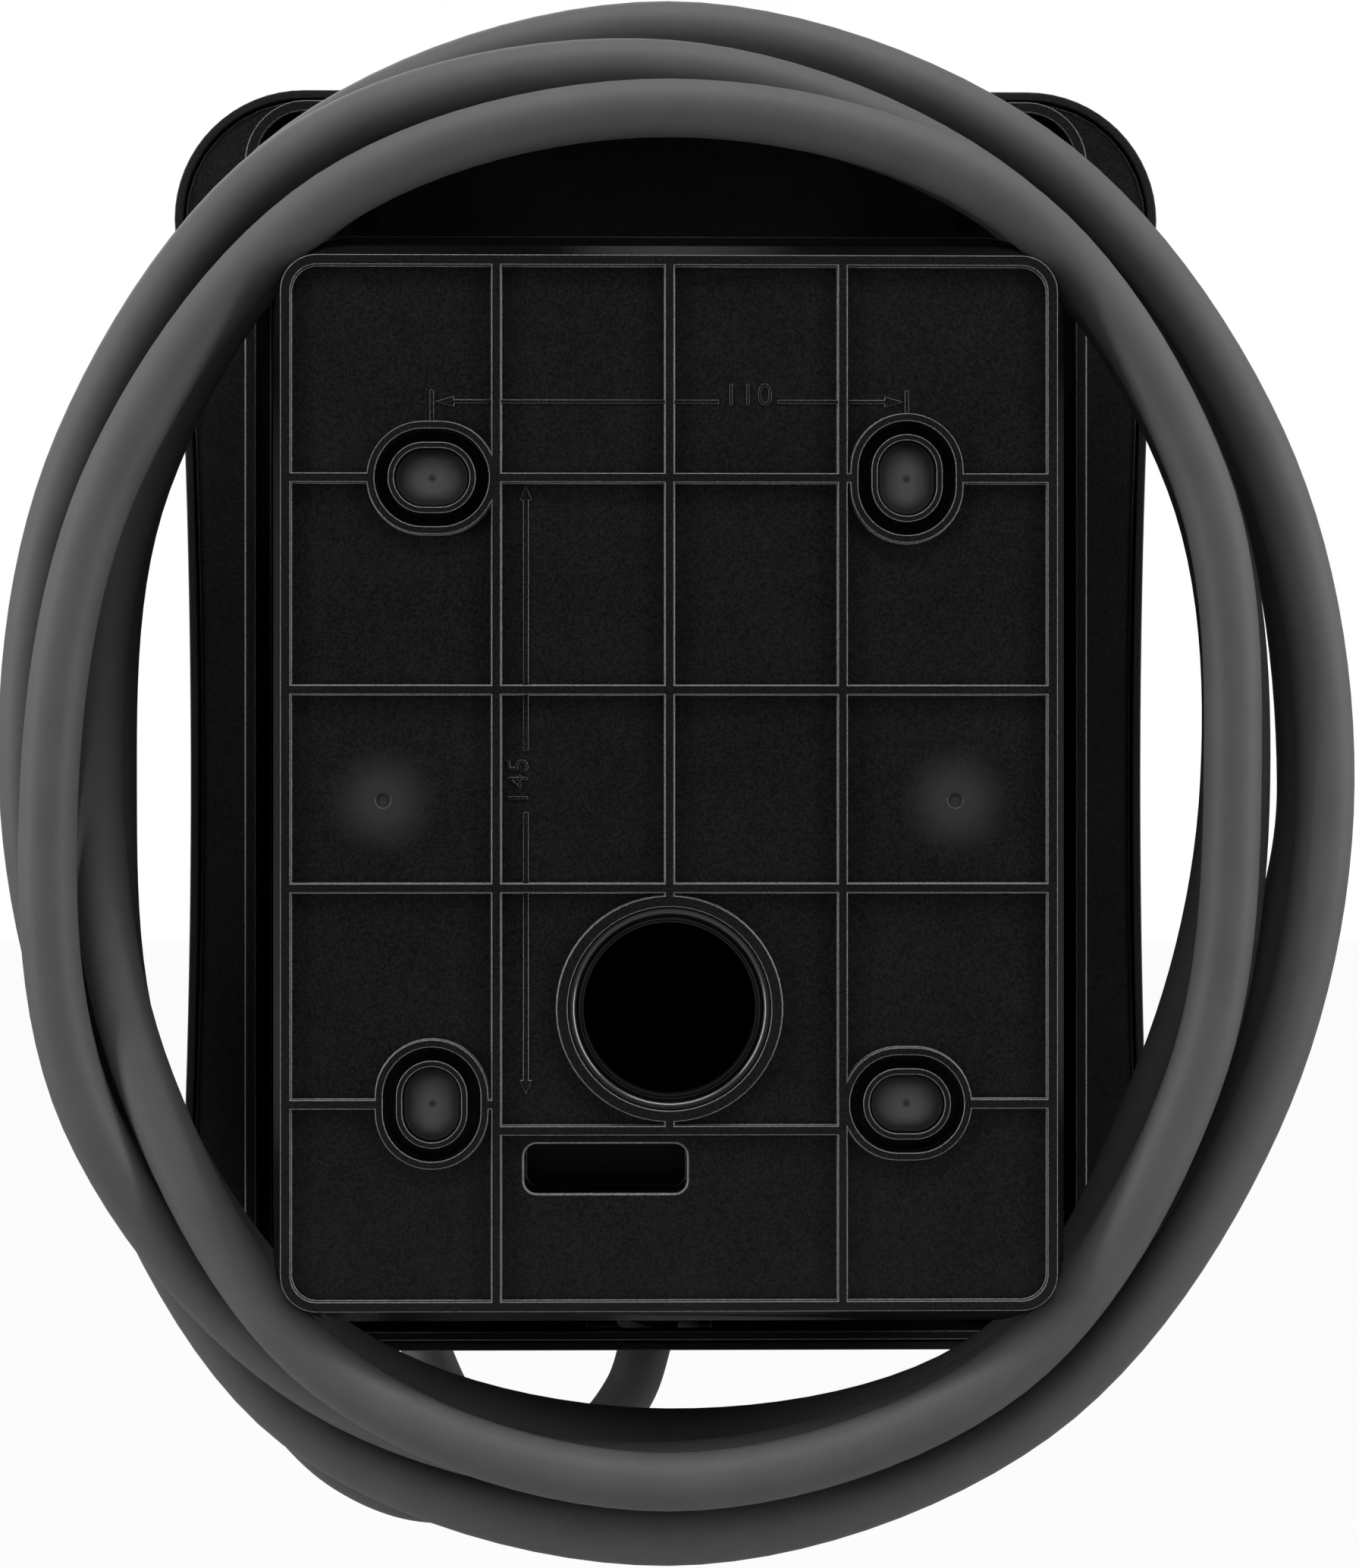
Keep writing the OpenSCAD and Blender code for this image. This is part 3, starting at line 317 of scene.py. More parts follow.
def rubber(name, level, rough, lump=0.9 * MM, depth=0.02 * MM, dust=0.3, coat=0.0):
    """Soft black rubber with a fine skin and a dusty bloom."""
    finish = new_finish(name)
    skin = finish.noise(lump, 4.0, 0.65)
    bloom = finish.noise(16 * MM, 4.0, 0.6)
    specks = finish.ramp(finish.noise(0.5 * MM, 2.0, 0.5), [(0.68, 0.0), (0.82, 1.0)])
    share = (bloom * 0.6 + skin * 0.3 + specks * dust).clamp()
    colour = finish.blend(share, grey(level * 0.8), grey(level * 1.5 + 0.004))
    roughness = (bloom * 0.1 + skin * 0.08 + rough).clamp()
    return finish.surface(Base_Color=colour, Roughness=roughness, Specular_IOR_Level=0.45, Coat_Weight=coat,
                          Coat_Roughness=0.16, Normal=finish.bump(skin, 0.25, depth))


def metal(name, colour, rough, brushed=False):
    """Plated steel or brass with fine turning marks and tarnish."""
    finish = new_finish(name)
    where = finish.place()
    if brushed:
        where = finish.node("ShaderNodeMapping", inputs={"Vector": where, "Scale": (0.04, 1.0, 1.0)})
    marks = finish.noise(0.4 * MM, 3.0, 0.6, where)
    stain = finish.noise(5 * MM, 4.0, 0.6)
    share = (stain * 0.7 + marks * 0.3).clamp()
    dull = tuple(channel * 0.72 for channel in colour[:3]) + (1,)
    return finish.surface(Base_Color=finish.blend(share, dull, colour), Metallic=1.0,
                          Roughness=(stain * 0.15 + marks * 0.12 + rough).clamp(),
                          Normal=finish.bump(marks, 0.2, 0.01 * MM))


def plain(name, colour, rough, coat=0.0, sheen=0.5):
    """Coloured plastic for small pieces, with mottling and a fine grain."""
    finish = new_finish(name)
    mottle = finish.noise(3 * MM, 4.0, 0.6)
    grain_noise = finish.noise(0.3 * MM, 2.0, 0.5)
    dark = tuple(channel * 0.82 for channel in colour[:3]) + (1,)
    return finish.surface(Base_Color=finish.blend(mottle, dark, colour), Coat_Weight=coat,
                          Roughness=(mottle * 0.14 + rough).clamp(), Specular_IOR_Level=sheen,
                          Normal=finish.bump(grain_noise, 0.2, 0.006 * MM))


GATE_MARKS = [(tuple(STAND_MM @ Vector((side * 66.4, -4.0, 2.0))), 14 * MM) for side in (-1, 1)]

housing_black = moulded("housing_black", 0.0078, 0.34, spots=GATE_MARKS, sunk=2.5 * MM)
mark_black = moulded("mark_black", 0.0085, 0.3, edge_highlight=0.11)
frame_black = moulded("frame_black", 0.0052, 0.42, edge_highlight=0.2)
cover_black = moulded("cover_black", 0.01, 0.45, grain=0.6 * MM, depth=0.03 * MM)
cable_black = rubber("cable_black", 0.092, 0.52)
entry_black = rubber("entry_black", 0.009, 0.2, dust=0.1, coat=1.0)
seal_black = rubber("seal_black", 0.02, 0.7)
gland_black = moulded("gland_black", 0.004, 0.5, edge_highlight=0.01)
boot_black = rubber("boot_black", 0.034, 0.5)
grip_black = moulded("grip_black", 0.014, 0.5, grain=0.8 * MM, depth=0.05 * MM, edge_highlight=0.05)
nose_black = moulded("nose_black", 0.017, 0.4, edge_highlight=0.06)
cup_black = moulded("cup_black", 0.012, 0.42, edge_highlight=0.05)
oxide_black = metal("oxide_black", (0.02, 0.02, 0.022, 1), 0.4)
nickel = metal("nickel", (0.5, 0.49, 0.46, 1), 0.25)
zinc = metal("zinc", (0.48, 0.49, 0.51, 1), 0.3)
rail_zinc = metal("rail_zinc", (0.55, 0.56, 0.57, 1), 0.32, brushed=True)
brass = metal("brass", (0.62, 0.45, 0.18, 1), 0.28)
shield = metal("shield", (0.56, 0.57, 0.58, 1), 0.35, brushed=True)
# Partly a black board, partly painted shade: the boards are near black with little sheen, darker than a real
# board, so the inside seen through the cable entry stays dark.
board_black = plain("board_black", (0.0012, 0.0018, 0.0014, 1), 0.75, sheen=0.08)
part_black = plain("part_black", (0.01, 0.01, 0.011, 1), 0.5, sheen=0.2)
button_red = plain("button_red", (0.36, 0.01, 0.01, 1), 0.25, coat=0.3)
switch_blue = plain("switch_blue", (0.02, 0.05, 0.2, 1), 0.35)
nylon_white = plain("nylon_white", (0.62, 0.62, 0.58, 1), 0.4)
case_grey = plain("case_grey", (0.4, 0.4, 0.38, 1), 0.45)
armature_grey = plain("armature_grey", (0.08, 0.08, 0.085, 1), 0.4)
lens_milk = plain("lens_milk", (0.66, 0.7, 0.72, 1), 0.15, coat=0.6)
lamp_pale = plain("lamp_pale", (0.75, 0.74, 0.5, 1), 0.2, coat=0.4)
wire_brown = plain("wire_brown", (0.1, 0.035, 0.012, 1), 0.4)
wire_black = plain("wire_black", (0.012, 0.012, 0.013, 1), 0.4)
wire_grey = plain("wire_grey", (0.12, 0.12, 0.125, 1), 0.4)


# Grommets in wall space, in millimetres and degrees: across, up, turn
GROMMETS = [(55, 70.7, 0), (-55, 70.7, 90), (55, -74.3, 90), (-55, -74.3, 0)]


def make_grommet_rubber():
    """Soft rubber skins, pale in the middle and darkened by painted shade towards their rims, which sit deep
    in their slots.
    """
    finish = new_finish("grommet_rubber")
    skin = finish.noise(0.5 * MM, 4.0, 0.7)
    middle = finish.node("ShaderNodeAttribute", {"attribute_name": "middle"}, output="Fac")
    # Painted shade: the layer "middle" is 0 at the rim and 1 in the middle, so the skin darkens towards its
    # rim as if shaded by its slot.
    share = middle * (skin * 0.3 + 0.85)
    for x, up, _turn in GROMMETS:
        share = share * (1 - halo(finish, tuple(STAND_MM @ Vector((x, up, 2.2))), 1.4 * MM) * 0.8)
    return finish.surface(Base_Color=finish.blend(share.clamp(), grey(0.004), grey(0.078)), Roughness=0.6,
                          Specular_IOR_Level=0.3, Normal=finish.bump(skin, 0.25, 0.02 * MM))


grommet_rubber = make_grommet_rubber()

CAD_FINISHES = {
    "housing_gasket": seal_black, "dock_seal": seal_black, "gland_seal": seal_black,
    "frame_screws": oxide_black, "cover_screws": oxide_black, "front_board_screws": zinc, "rail_screws": zinc,
    "board_screws": zinc, "terminal_screws": zinc, "connector_screws": zinc, "dock_screws": zinc,
    "front_board": board_black, "main_board": board_black, "status_leds": lamp_pale,
    "stop_switch": part_black, "board_components": part_black, "tamper_switch": switch_blue,
    "leakage_sensor": switch_blue, "tamper_plunger": nylon_white, "board_standoffs": nylon_white,
    "power_supply": nylon_white, "contactor": case_grey, "supply_terminals": case_grey,
    "contactor_armature": armature_grey, "radio_module": shield, "earth_stud": brass,
    "earth_nut": brass, "connector_contacts": brass, "supply_wires": wire_brown,
    "outgoing_wires": wire_black, "signal_lead": wire_grey, "gland_locknut": nickel,
    "mounting_rail": rail_zinc, "cable_tail": cable_black,
    "connector_nose": nose_black,
}


def finish_cad_nodes():
    for node, material in CAD_FINISHES.items():
        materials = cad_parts[node].data.materials
        materials.clear()
        materials.append(material)


finish_cad_nodes()


# ---------------------------------------------------------------- cable

CABLE_D = 13.5 * MM
GLAND_LEAN = math.radians(17)
GLAND_EXIT = Vector((-0.0007 + 0.0178 * math.sin(GLAND_LEAN), -0.126 - 0.0178 * math.cos(GLAND_LEAN), 0.0885))
LEAD_IN = [
    (0.0095, -0.158, 0.0875), (0.0215, -0.172, 0.0845), (0.041, -0.181, 0.0795), (0.0625, -0.1815, 0.073),
    (0.081, -0.1725, 0.067), (0.095, -0.1575, 0.062), (0.1125, -0.1325, 0.057), (0.128, -0.1065, 0.0535),
    (0.141, -0.081, 0.051), (0.1505, -0.04, 0.046),
]
# One row per turn, in steps of 30 degrees: distance from the plate's middle and height over the wall.
TURNS = [
    [(0.1515, 0.04), (0.1635, 0.041), (0.18, 0.0445), (0.185, 0.0425), (0.177, 0.034), (0.163, 0.0225),
     (0.156, 0.0165), (0.16, 0.0165), (0.173, 0.0175), (0.182, 0.0305), (0.179, 0.036), (0.1575, 0.032)],
    [(0.1525, 0.022), (0.161, 0.022), (0.174, 0.022), (0.1705, 0.022), (0.1615, 0.024), (0.1475, 0.024),
     (0.1375, 0.024), (0.145, 0.0245), (0.161, 0.0265), (0.1645, 0.0245), (0.1665, 0.0255), (0.1575, 0.0145)],
    [(0.145, 0.01), (0.149, 0.01), (0.158, 0.01), (0.1585, 0.01), (0.158, 0.01), (0.144, 0.01),
     (0.1325, 0.01), (0.142, 0.01), (0.159, 0.01), (0.164, 0.01), (0.159, 0.01), (0.1425, 0.0165)],
    [(0.1375, 0.028), (0.147, 0.029), (0.1625, 0.0325), (0.1655, 0.0385), (0.163, 0.0385), (0.1485, 0.039),
     (0.137, 0.0385), (0.1405, 0.0395), (0.1615, 0.0415), (0.1615, 0.0485), (0.162, 0.051), (0.148, 0.044)],
    [(0.137, 0.044), (0.1485, 0.0445), (0.1665, 0.0495), (0.176, 0.0565), (0.172, 0.0515), (0.164, 0.0415),
     (0.1545, 0.032)],
]
LEAD_OUT = [
    (-0.148, -0.0395, 0.0315), (-0.1365, -0.0795, 0.034), (-0.1175, -0.1175, 0.0415), (-0.091, -0.151, 0.05),
    (-0.062, -0.173, 0.057), (-0.032, -0.1855, 0.0665), (-0.004, -0.192, 0.079), (0.02, -0.193, 0.093),
    (0.04, -0.186, 0.1075), (0.0555, -0.1725, 0.1215), (0.066, -0.155, 0.1355), (0.071, -0.137, 0.1455),
]
CABLE_END = (0.072, -0.105, 0.15)
STATION = math.radians(30)
STEPS_PER_STATION = 12


def coil_points():
    for turn in TURNS:
        for step, (reach, height) in enumerate(turn):
            angle = STATION * step
            yield Vector((reach * math.cos(angle), reach * math.sin(angle), height))


def spline(points, steps):
    """Centripetal spline through points, with some steps between each two."""
    ends = [points[0] * 2 - points[1], *points, points[-1] * 2 - points[-2]]
    for a, b, c, d in zip(ends, ends[1:], ends[2:], ends[3:]):
        tb = math.sqrt((b - a).length)
        tc = tb + math.sqrt((c - b).length)
        td = tc + math.sqrt((d - c).length)
        for step in range(steps):
            t = tb + (tc - tb) * step / steps
            ab = a * ((tb - t) / tb) + b * (t / tb)
            bc = b * ((tc - t) / (tc - tb)) + c * ((t - tb) / (tc - tb))
            cd = c * ((td - t) / (td - tc)) + d * ((t - tc) / (td - tc))
            abc = ab * ((tc - t) / tc) + bc * (t / tc)
            bcd = bc * ((td - t) / (td - tb)) + cd * ((t - tb) / (td - tb))
            yield abc * ((tc - t) / (tc - tb)) + bcd * ((t - tb) / (tc - tb))
    yield points[-1]


def make_cable():
    """The charging cable, one unbroken curve from the gland, round the housing, to the connector."""
    points = [GLAND_EXIT, *map(Vector, LEAD_IN), *coil_points(), *map(Vector, LEAD_OUT), Vector(CABLE_END)]
    route = [STAND @ point for point in spline(points, STEPS_PER_STATION)]
    data = bpy.data.curves.new("charging_cable", "CURVE")
    data.dimensions = "3D"
    data.bevel_depth = CABLE_D / 2
    data.bevel_resolution = 9
    data.use_fill_caps = True
    line = data.splines.new("POLY")
    line.points.add(len(route) - 1)
    for place, point in zip(line.points, route):
        place.co = (*point, 1)
    data.materials.append(cable_black)
    cable = bpy.data.objects.new("charging_cable", data)
    bpy.context.collection.objects.link(cable)
    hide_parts("cable_lead_in", "cable_coil", "cable_lead_out")
    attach(cable, "root")
    length = sum((b - a).length for a, b in zip(route, route[1:]))


# ---------------------------------------------------------------- housing

# The shoulder round the plate, in millimetres from the plate's middle. Its outer edge lies past these
# sides, or at a corner past a radius about the corner's middle.
SHOULDER_Z = 3
SHOULDER_SIDES = (91, 123.5)
SHOULDER_CORNER = (75.7, 109, 15.5)
# Where the slope that takes the shoulder's place ends, and how far it widens on the way
SLOPE_Z = 9
SLOPE_WIDENS = (1.0095, 1.007)

# The rear pocket's mouth, in wall space: its middle, and how far its edges reach across and up
POCKET_MOUTH = (14.85, -89.4, 2)
POCKET_REACH = (19, 5.9)

# The hidden face of the land inside the cover
FRAME_FRONT = -76 * MM


def past_shoulder(across, up):
    """Whether a point, in millimetres, lies on the shoulder's outer edge."""
    corner_x, corner_up, radius = SHOULDER_CORNER
    at_corner = (across > corner_x and up > corner_up
                 and math.hypot(across - corner_x, up - corner_up) > radius)
    return across > SHOULDER_SIDES[0] or up > SHOULDER_SIDES[1] or at_corner


def slope_collar(bm):
    """Turns the narrow shoulder round the plate into a steep slope that runs out at the housing's side."""
    for vert in bm.verts:
        up = vert.co.z - PLATE_UP
        at_edge = abs(vert.co.y + SHOULDER_Z * MM) < 0.02 * MM
        if at_edge and past_shoulder(abs(vert.co.x) / MM, abs(up) / MM):
            vert.co = Vector((vert.co.x * SLOPE_WIDENS[0], -SLOPE_Z * MM, PLATE_UP + up * SLOPE_WIDENS[1]))


def round_pocket(bm):
    """Gives the rear pocket's mouth a wider rounding than the other edges have."""
    middle = STAND_MM @ Vector(POCKET_MOUTH)
    across, up = POCKET_REACH
    mouth = [edge for edge in bm.edges if all(
        abs(vert.co.x - middle.x) < across * MM and abs(vert.co.z - middle.z) < up * MM
        and abs(vert.co.y - middle.y) < 0.02 * MM for vert in edge.verts)]
    round_edges(bm, mouth, 0.5 * MM, 3)


dressed("rear_housing", 0.22 * MM, housing_black, reshape=slope_collar, first=round_pocket)
dressed("mid_frame", 0.3 * MM, frame_black, sharp_at=FRAME_FRONT)
dressed("gland_body", 0.2 * MM, gland_black)
dressed("gland_nut", 0.08 * MM, gland_black)


def stadium_face(bm, length, width):
    """A stadium's outline as one face, its straight sides along x."""
    made = bmesh.ops.create_circle(bm, cap_ends=True, segments=48, radius=width / 2,
                                   matrix=Matrix.Rotation(math.radians(3.75), 4, "Z"))
    for vert in made["verts"]:
        vert.co.x += math.copysign((length - width) / 2, vert.co.x)
    return made["verts"][0].link_faces[0]


def raise_copy(bm, faces, height):
    """Makes a solid between faces and their copies at a height."""
    copy = bmesh.ops.extrude_face_region(bm, geom=faces)["geom"]
    bmesh.ops.translate(bm, verts=[item for item in copy if isinstance(item, bmesh.types.BMVert)],
                        vec=(0, 0, height))


SKIN_STEPS = [  # inset, drop into the housing, paleness, low at the rim as painted shade
    (0.12, -0.12, 0.0), (0.4, 0.0, 0.02), (0.12, 0.25, 0.02), (0.15, 0.9, 0.03), (0.7, 0.1, 0.25),
    (0.9, -0.1, 0.7), (1.1, -0.1, 0.95), (1.5, 0.0, 1.0), (1.2, 0.0, 1.0),
]


def make_grommets():
    """The four soft plugs, each a dished skin that a wall screw is driven through."""
    bm = bmesh.new()
    bm.verts.layers.float.new("middle")
    for x, up, turn in GROMMETS:
        plug = bmesh.new()
        painted_light_share = plug.verts.layers.float.new("middle")
        face = stadium_face(plug, 17.3 * MM, 13.4 * MM)
        raise_copy(plug, [face], 8 * MM)
        for inset, drop, pale in SKIN_STEPS:
            bmesh.ops.inset_region(plug, faces=[face], thickness=inset * MM, use_even_offset=True)
            bmesh.ops.translate(plug, verts=face.verts, vec=(0, 0, drop * MM))
            # Each step's share of painted light, low at the rim as painted shade.
            for vert in face.verts:
                vert[painted_light_share] = pale
        place = STAND @ Matrix.Translation((x * MM, up * MM, 1.2 * MM))
        turned = place @ Matrix.Rotation(math.radians(turn), 4, "Z")
        bmesh.ops.transform(plug, matrix=turned, verts=plug.verts)
        part = bpy.data.meshes.new("plug")
        plug.to_mesh(part)
        plug.free()
        bm.from_mesh(part)
        bpy.data.meshes.remove(part)
    show("grommets", to_mesh(bm, "grommets", math.radians(50)), grommet_rubber,
         ["mount_grommets"])


make_grommets()

ENTRY_UP = -52.2


def make_entry_ring():
    """The soft ring in the cable entry: a round shoulder, a groove and two fine ridges to its bore."""
    shoulder = [(23.25 - 1.8 * math.sin(math.radians(a)), 2.2 - 1.8 * math.cos(math.radians(a)))
                for a in range(0, 86, 10)]
    outline = [(23.4, 1.9), (23.4, 0.55), *shoulder, (21.4, 2.3), (21.05, 2.3), (20.95, 0.9),
               (20.85, 0.8), (20.7, 0.8), (20.6, 0.9), (20.55, 1.3), (20.4, 1.3), (20.35, 0.8),
               (20.25, 0.65), (20.05, 0.65), (19.95, 0.8), (19.95, 7.4), (20.1, 7.6), (24.4, 7.6),
               (24.4, 5.1), (21.9, 5.1), (21.9, 1.9)]
    bm = bmesh.new()
    verts = [bm.verts.new((r * MM, 0, z * MM)) for r, z in outline]
    edges = [bm.edges.new(pair) for pair in zip(verts, verts[1:] + verts[:1])]
    bmesh.ops.spin(bm, geom=verts + edges, axis=(0, 0, 1), cent=(0, 0, 0), angle=math.tau, steps=128,
                   use_merge=True)
    bmesh.ops.transform(bm, matrix=STAND @ Matrix.Translation((0, ENTRY_UP * MM, 0)), verts=bm.verts)
    show("entry_ring", to_mesh(bm, "entry_ring", math.radians(40)), entry_black,
         ["rear_entry_grommet"])


make_entry_ring()


# ---------------------------------------------------------------- moulded marks on the plate

# Mark space: x right and y up as seen from behind, z out of the plate's sunk floor.
MARKS = STAND @ Matrix(((-1, 0, 0, 0), (0, 1, 0, 0), (0, 0, -1, 2 * MM), (0, 0, 0, 1)))
MARK_HEIGHT = 0.3 * MM
MARK_SINK = 0.05 * MM


def raised_shape(bm, points):
    """A flat shape of a few corners, raised from the plate."""
    face = bm.faces.new([bm.verts.new((x * MM, y * MM, -MARK_SINK)) for x, y in points])
    raise_copy(bm, [face], MARK_HEIGHT + MARK_SINK)


def bar(bm, a, b, width):
    """A straight bar between two points, along x or y."""
    across = Vector((b[1] - a[1], b[0] - a[0])).normalized() * width / 2
    raised_shape(bm, [(a[0] - across.x, a[1] - across.y), (b[0] - across.x, b[1] - across.y),
                      (b[0] + across.x, b[1] + across.y), (a[0] + across.x, a[1] + across.y)])


def arrow(bm, tip, way, length, half, width, reach):
    """An arrow with its tip at a point and its bar running the other way."""
    tip, way = Vector(tip), Vector(way)
    side = Vector((-way.y, way.x))
    neck, end = tip - way * length, tip - way * reach
    raised_shape(bm, [tip, neck + side * half, neck + side * width / 2, end + side * width / 2,
                      end - side * width / 2, neck - side * width / 2, neck - side * half])


def make_dimension_lines():
    bm = bmesh.new()
    arrow(bm, (-54.4, 88.5), (-1, 0), 4.5, 1.3, 0.9, 54.4 + 11.5)
    arrow(bm, (54.4, 88.5), (1, 0), 4.5, 1.3, 0.9, 54.4 - 25)
    bar(bm, (-55.1, 91.2), (-55.1, 83.2), 1.0)
    bar(bm, (55.1, 91.2), (55.1, 85.2), 1.0)
    arrow(bm, (-33.3, 69), (0, 1), 3.4, 1.5, 1.3, 69 - 7.5)
    arrow(bm, (-33.3, -72.2), (0, -1), 3.4, 1.5, 1.3, 72.2 - 6.7)
    bmesh.ops.transform(bm, matrix=MARKS, verts=bm.verts)
    soften(bm, 0.14 * MM, 1)
    show("dimension_lines", to_mesh(bm, "dimension_lines"), mark_black)


def make_number(words, middle, turn, height):
    """A number raised from the plate."""
    data = bpy.data.curves.new("number_" + words, "FONT")
    data.body = words
    data.align_x = "CENTER"
    data.align_y = "CENTER"
    data.space_character = 1.08
    data.resolution_u = 5
    text = bpy.data.objects.new("number_" + words, data)
    bpy.context.collection.objects.link(text)
    bpy.context.view_layer.update()
    flat = bpy.data.meshes.new_from_object(text)
    bpy.data.objects.remove(text)
    tall = max(vert.co.y for vert in flat.vertices) - min(vert.co.y for vert in flat.vertices)
    size = height * MM / tall
    bm = bmesh.new()
    bm.from_mesh(flat)
    bpy.data.meshes.remove(flat)
    bmesh.ops.remove_doubles(bm, verts=bm.verts, dist=0.001)
    sunk = Matrix.Translation((0, 0, -MARK_SINK)) @ Matrix.Scale(size, 4)
    bmesh.ops.transform(bm, matrix=sunk, verts=bm.verts)
    raise_copy(bm, list(bm.faces), MARK_HEIGHT + MARK_SINK)
    bmesh.ops.recalc_face_normals(bm, faces=bm.faces)
    bmesh.ops.dissolve_limit(bm, angle_limit=math.radians(1), verts=bm.verts, edges=bm.edges,
                             use_dissolve_boundaries=False)
    soften(bm, 0.11 * MM, 1)
    place = MARKS @ Matrix.Translation((middle[0] * MM, middle[1] * MM, 0)) @ Matrix.Rotation(
        math.radians(turn), 4, "Z")
    bmesh.ops.transform(bm, matrix=place, verts=bm.verts)
    show("number_" + words, to_mesh(bm, "number_" + words), mark_black)


make_dimension_lines()
make_number("110", (18.2, 89.9), 0, 5.1)
make_number("145", (-34.9, 0.4), 90, 4.9)


# ---------------------------------------------------------------- cover

COVER = {"waist": 121.2, "bow": 5040, "top": 176.7, "bottom": 144.7, "corner": 33, "depth": 118,
         "edge": 10, "wall": 2.2, "back": 72}
# The notch that the cable leaves by: left, right, and its ends over the wall
NOTCH = (GLAND_EXIT.x / MM - 16, GLAND_EXIT.x / MM + 16, 77, 98.35)
# Holes in the front: middle, length, width
BUTTON_HOLE = ((-60, 95), 20.6, 20.6)
LENS_HOLE = ((-5, 110), 60.2, 6.2)


def waist(y):
    return COVER["waist"] + y * y / COVER["bow"]


def cover_points(inset):
    """The cover's outline, drawn in by an inset: bowed sides, straight ends and round corners."""
    high, low = COVER["top"] - COVER["corner"], COVER["corner"] - COVER["bottom"]
    r = COVER["corner"] - inset
    half = []
    for step in range(17):
        angle = math.radians(-90 + 90 * step / 16)
        half.append((waist(low) - COVER["corner"] + r * math.cos(angle), low + r * math.sin(angle)))
    for step in range(1, 24):
        y = low + (high - low) * step / 24
        half.append((waist(y) - inset, y))
    for step in range(17):
        angle = math.radians(90 * step / 16)
        half.append((waist(high) - COVER["corner"] + r * math.cos(angle), high + r * math.sin(angle)))
    left = [(-x, y) for x, y in reversed(half)]
    below = [(NOTCH[0], inset - COVER["bottom"]), (NOTCH[1], inset - COVER["bottom"])]
    return half + left + below


def ring_edges(bm, points, z):
    verts = [bm.verts.new((x * MM, y * MM, z * MM)) for x, y in points]
    return [bm.edges.new(pair) for pair in zip(verts, verts[1:] + verts[:1])]


def hole_edges(bm, at, length, width, z):
    face = stadium_face(bm, length * MM, width * MM)
    edges = list(face.edges)
    bmesh.ops.translate(bm, verts=face.verts, vec=(at[0] * MM, at[1] * MM, z * MM))
    bmesh.ops.delete(bm, geom=[face], context="FACES_ONLY")
    return edges


def make_cover():
    """The front cover, one smooth shell with a round front edge and its openings."""
    bm = bmesh.new()
    depth, edge = COVER["depth"], COVER["edge"]
    levels = [(COVER["back"], 0), (NOTCH[2], 0), (NOTCH[3], 0), (depth - edge, 0)]
    for step in range(1, 11):
        angle = math.radians(9 * step)
        levels.append((depth - edge + edge * math.sin(angle), edge * (1 - math.cos(angle))))
    rings = [ring_edges(bm, cover_points(inset), z) for z, inset in levels]
    for lower, upper in zip(rings, rings[1:]):
        bmesh.ops.bridge_loops(bm, edges=lower + upper)
    window = [face for face in bm.faces
              if NOTCH[0] * MM < face.calc_center_median().x < NOTCH[1] * MM
              and NOTCH[2] * MM < face.calc_center_median().z < NOTCH[3] * MM
              and face.calc_center_median().y < -140 * MM]
    bmesh.ops.delete(bm, geom=window, context="FACES_ONLY")
    holes = hole_edges(bm, *BUTTON_HOLE, depth) + hole_edges(bm, *LENS_HOLE, depth)
    fill = bmesh.ops.triangle_fill(bm, use_beauty=True, use_dissolve=False, edges=rings[-1] + holes)
    front = {item for item in fill["geom"] if isinstance(item, bmesh.types.BMFace)}
    inner = [edge for edge in bm.edges if len(edge.link_faces) == 2 and front.issuperset(edge.link_faces)]
    bmesh.ops.dissolve_limit(bm, angle_limit=math.radians(0.4), verts=[], edges=inner,
                             use_dissolve_boundaries=False)
    bmesh.ops.transform(bm, matrix=STAND, verts=bm.verts)
    piece = show("cover_shell", to_mesh(bm, "cover_shell"), cover_black, ["front_cover"])
    wall = piece.modifiers.new("wall", "SOLIDIFY")
    wall.thickness = COVER["wall"] * MM
    wall.offset = -1
    wall.use_even_offset = True
    rounding = piece.modifiers.new("rounding", "BEVEL")
    rounding.width = 0.35 * MM
    rounding.segments = 2
    rounding.limit_method = "ANGLE"
    rounding.angle_limit = math.radians(50)
    even_normals(piece)


make_cover()
dressed("status_lens", 0.25 * MM, lens_milk)
dressed("stop_button", 0.8 * MM, button_red, "stop_button", segments=3)


# ---------------------------------------------------------------- connector and its cup

dressed("dock_cup", 0.6 * MM, cup_black)
CONNECTOR = [
    dressed("connector_grip_left", 0.4 * MM, grip_black),
    dressed("connector_grip_right", 0.4 * MM, grip_black),
    dressed("connector_collar", 1.0 * MM, nose_black),
    dressed("connector_boot", 0.8 * MM, boot_black),
    *(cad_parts[node] for node in ("connector_screws", "connector_nose", "connector_contacts")),
]
make_cable()


# ---------------------------------------------------------------- stage and light

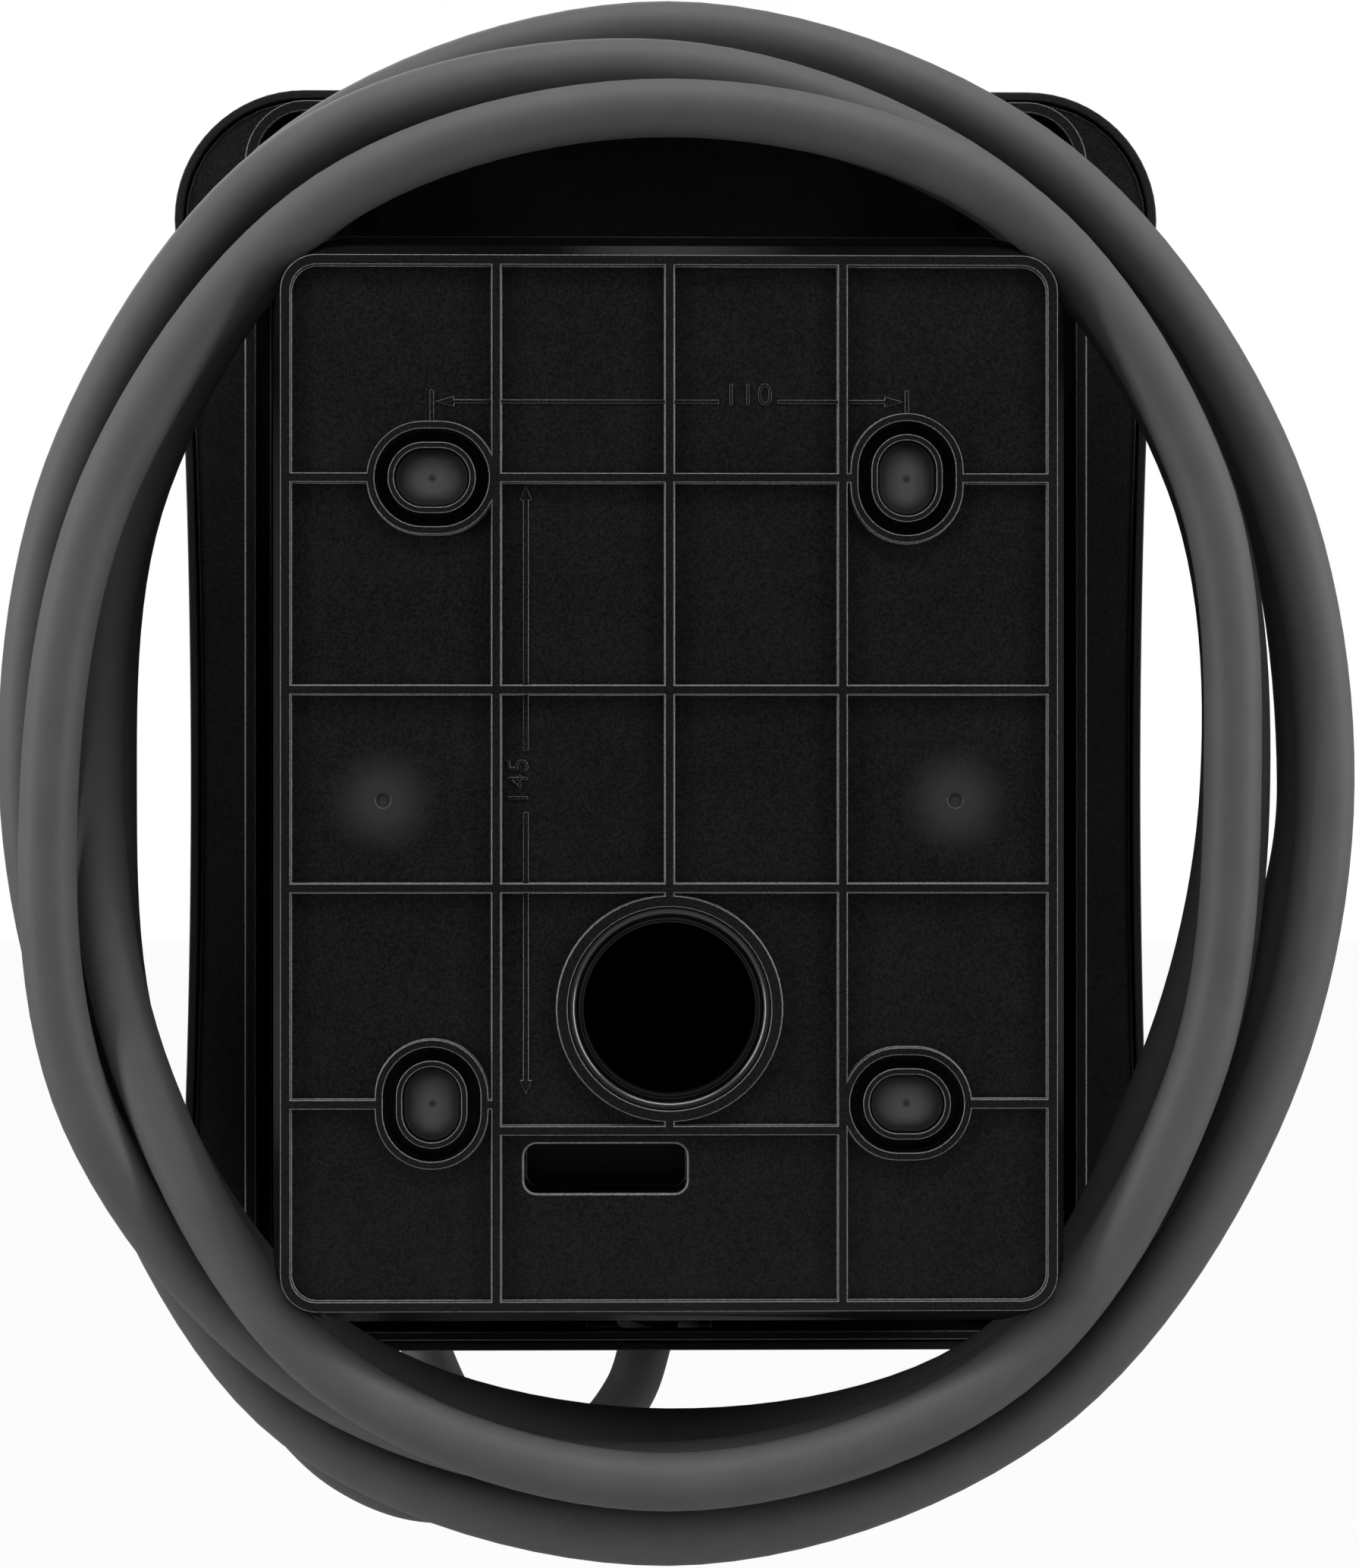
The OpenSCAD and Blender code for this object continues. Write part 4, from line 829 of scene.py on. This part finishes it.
def make_floor():
    """A pale floor that looks white, takes a faint shadow and ends short of the plate's reflection."""
    bm = bmesh.new()
    bmesh.ops.create_grid(bm, x_segments=1, y_segments=1, size=4.0)
    bmesh.ops.translate(bm, verts=bm.verts, vec=(0, -3.4, -0.42))
    mesh = bpy.data.meshes.new("floor")
    bm.to_mesh(mesh)
    bm.free()
    finish = new_finish("floor_white")
    white = finish.node("ShaderNodeEmission", inputs={"Color": (1, 1, 1, 1), "Strength": 1.0})
    matt = finish.node("ShaderNodeBsdfDiffuse", inputs={"Color": (0.5, 0.5, 0.5, 1)})
    glows = (finish.ray("Is Camera Ray") + finish.ray("Is Transmission Ray")).clamp() * 0.96
    mixed = finish.node("ShaderNodeMixShader", inputs={0: glows, 1: matt, 2: white})
    finish.node("ShaderNodeOutputMaterial", inputs={"Surface": mixed})
    mesh.materials.append(finish.owner)
    floor = bpy.data.objects.new("floor", mesh)
    bpy.context.collection.objects.link(floor)


def make_world():
    """White to the camera and, round its sides, to gloss and glass. The sky before the object is dark."""
    world = bpy.data.worlds.new("studio")
    bpy.context.scene.world = world
    studio = Graph(world)
    way = studio.node("ShaderNodeTexCoord", output="Generated")
    toward = studio.part_of(way, "Y")
    sides = studio.ramp(studio.node("ShaderNodeMath", {"operation": "ABSOLUTE"}, {0: toward}),
                        [(0.0, 1.0), (0.42, 0.9), (0.68, 0.16), (1.0, 0.015)])
    seen = (studio.ray("Is Camera Ray") + studio.ray("Is Transmission Ray")).clamp()
    strength = seen + (1 - seen) * sides * (1 - studio.ray("Is Diffuse Ray") * 0.6)
    white = studio.node("ShaderNodeBackground", inputs={"Color": (1, 1, 1, 1), "Strength": strength})
    studio.node("ShaderNodeOutputWorld", inputs={"Surface": white})


def softbox(name, at, target, size, watts):
    data = bpy.data.lights.new(name, "AREA")
    data.shape = "RECTANGLE"
    data.size, data.size_y = size
    data.energy = watts
    light = bpy.data.objects.new(name, data)
    bpy.context.collection.objects.link(light)
    light.location = at
    look(light, target)


make_floor()
make_world()
softbox("left_box", (1.3, 0.5, 0.1), (0, 0, 0), (0.25, 1.7), 11.5)
softbox("right_box", (-1.3, 0.5, 0.1), (0, 0, 0), (0.25, 1.7), 11.5)
softbox("top_box", (0, 0.5, 1.35), (0, 0, 0), (1.6, 0.25), 10)
softbox("low_box", (0, 0.6, -0.41), (0, 0, -0.1), (1.6, 0.3), 0.4)
softbox("front_box", (0.5, -1.2, 0.9), (0, 0, 0), (1.2, 0.8), 7)

bpy.context.scene.view_settings.view_transform = "Standard"
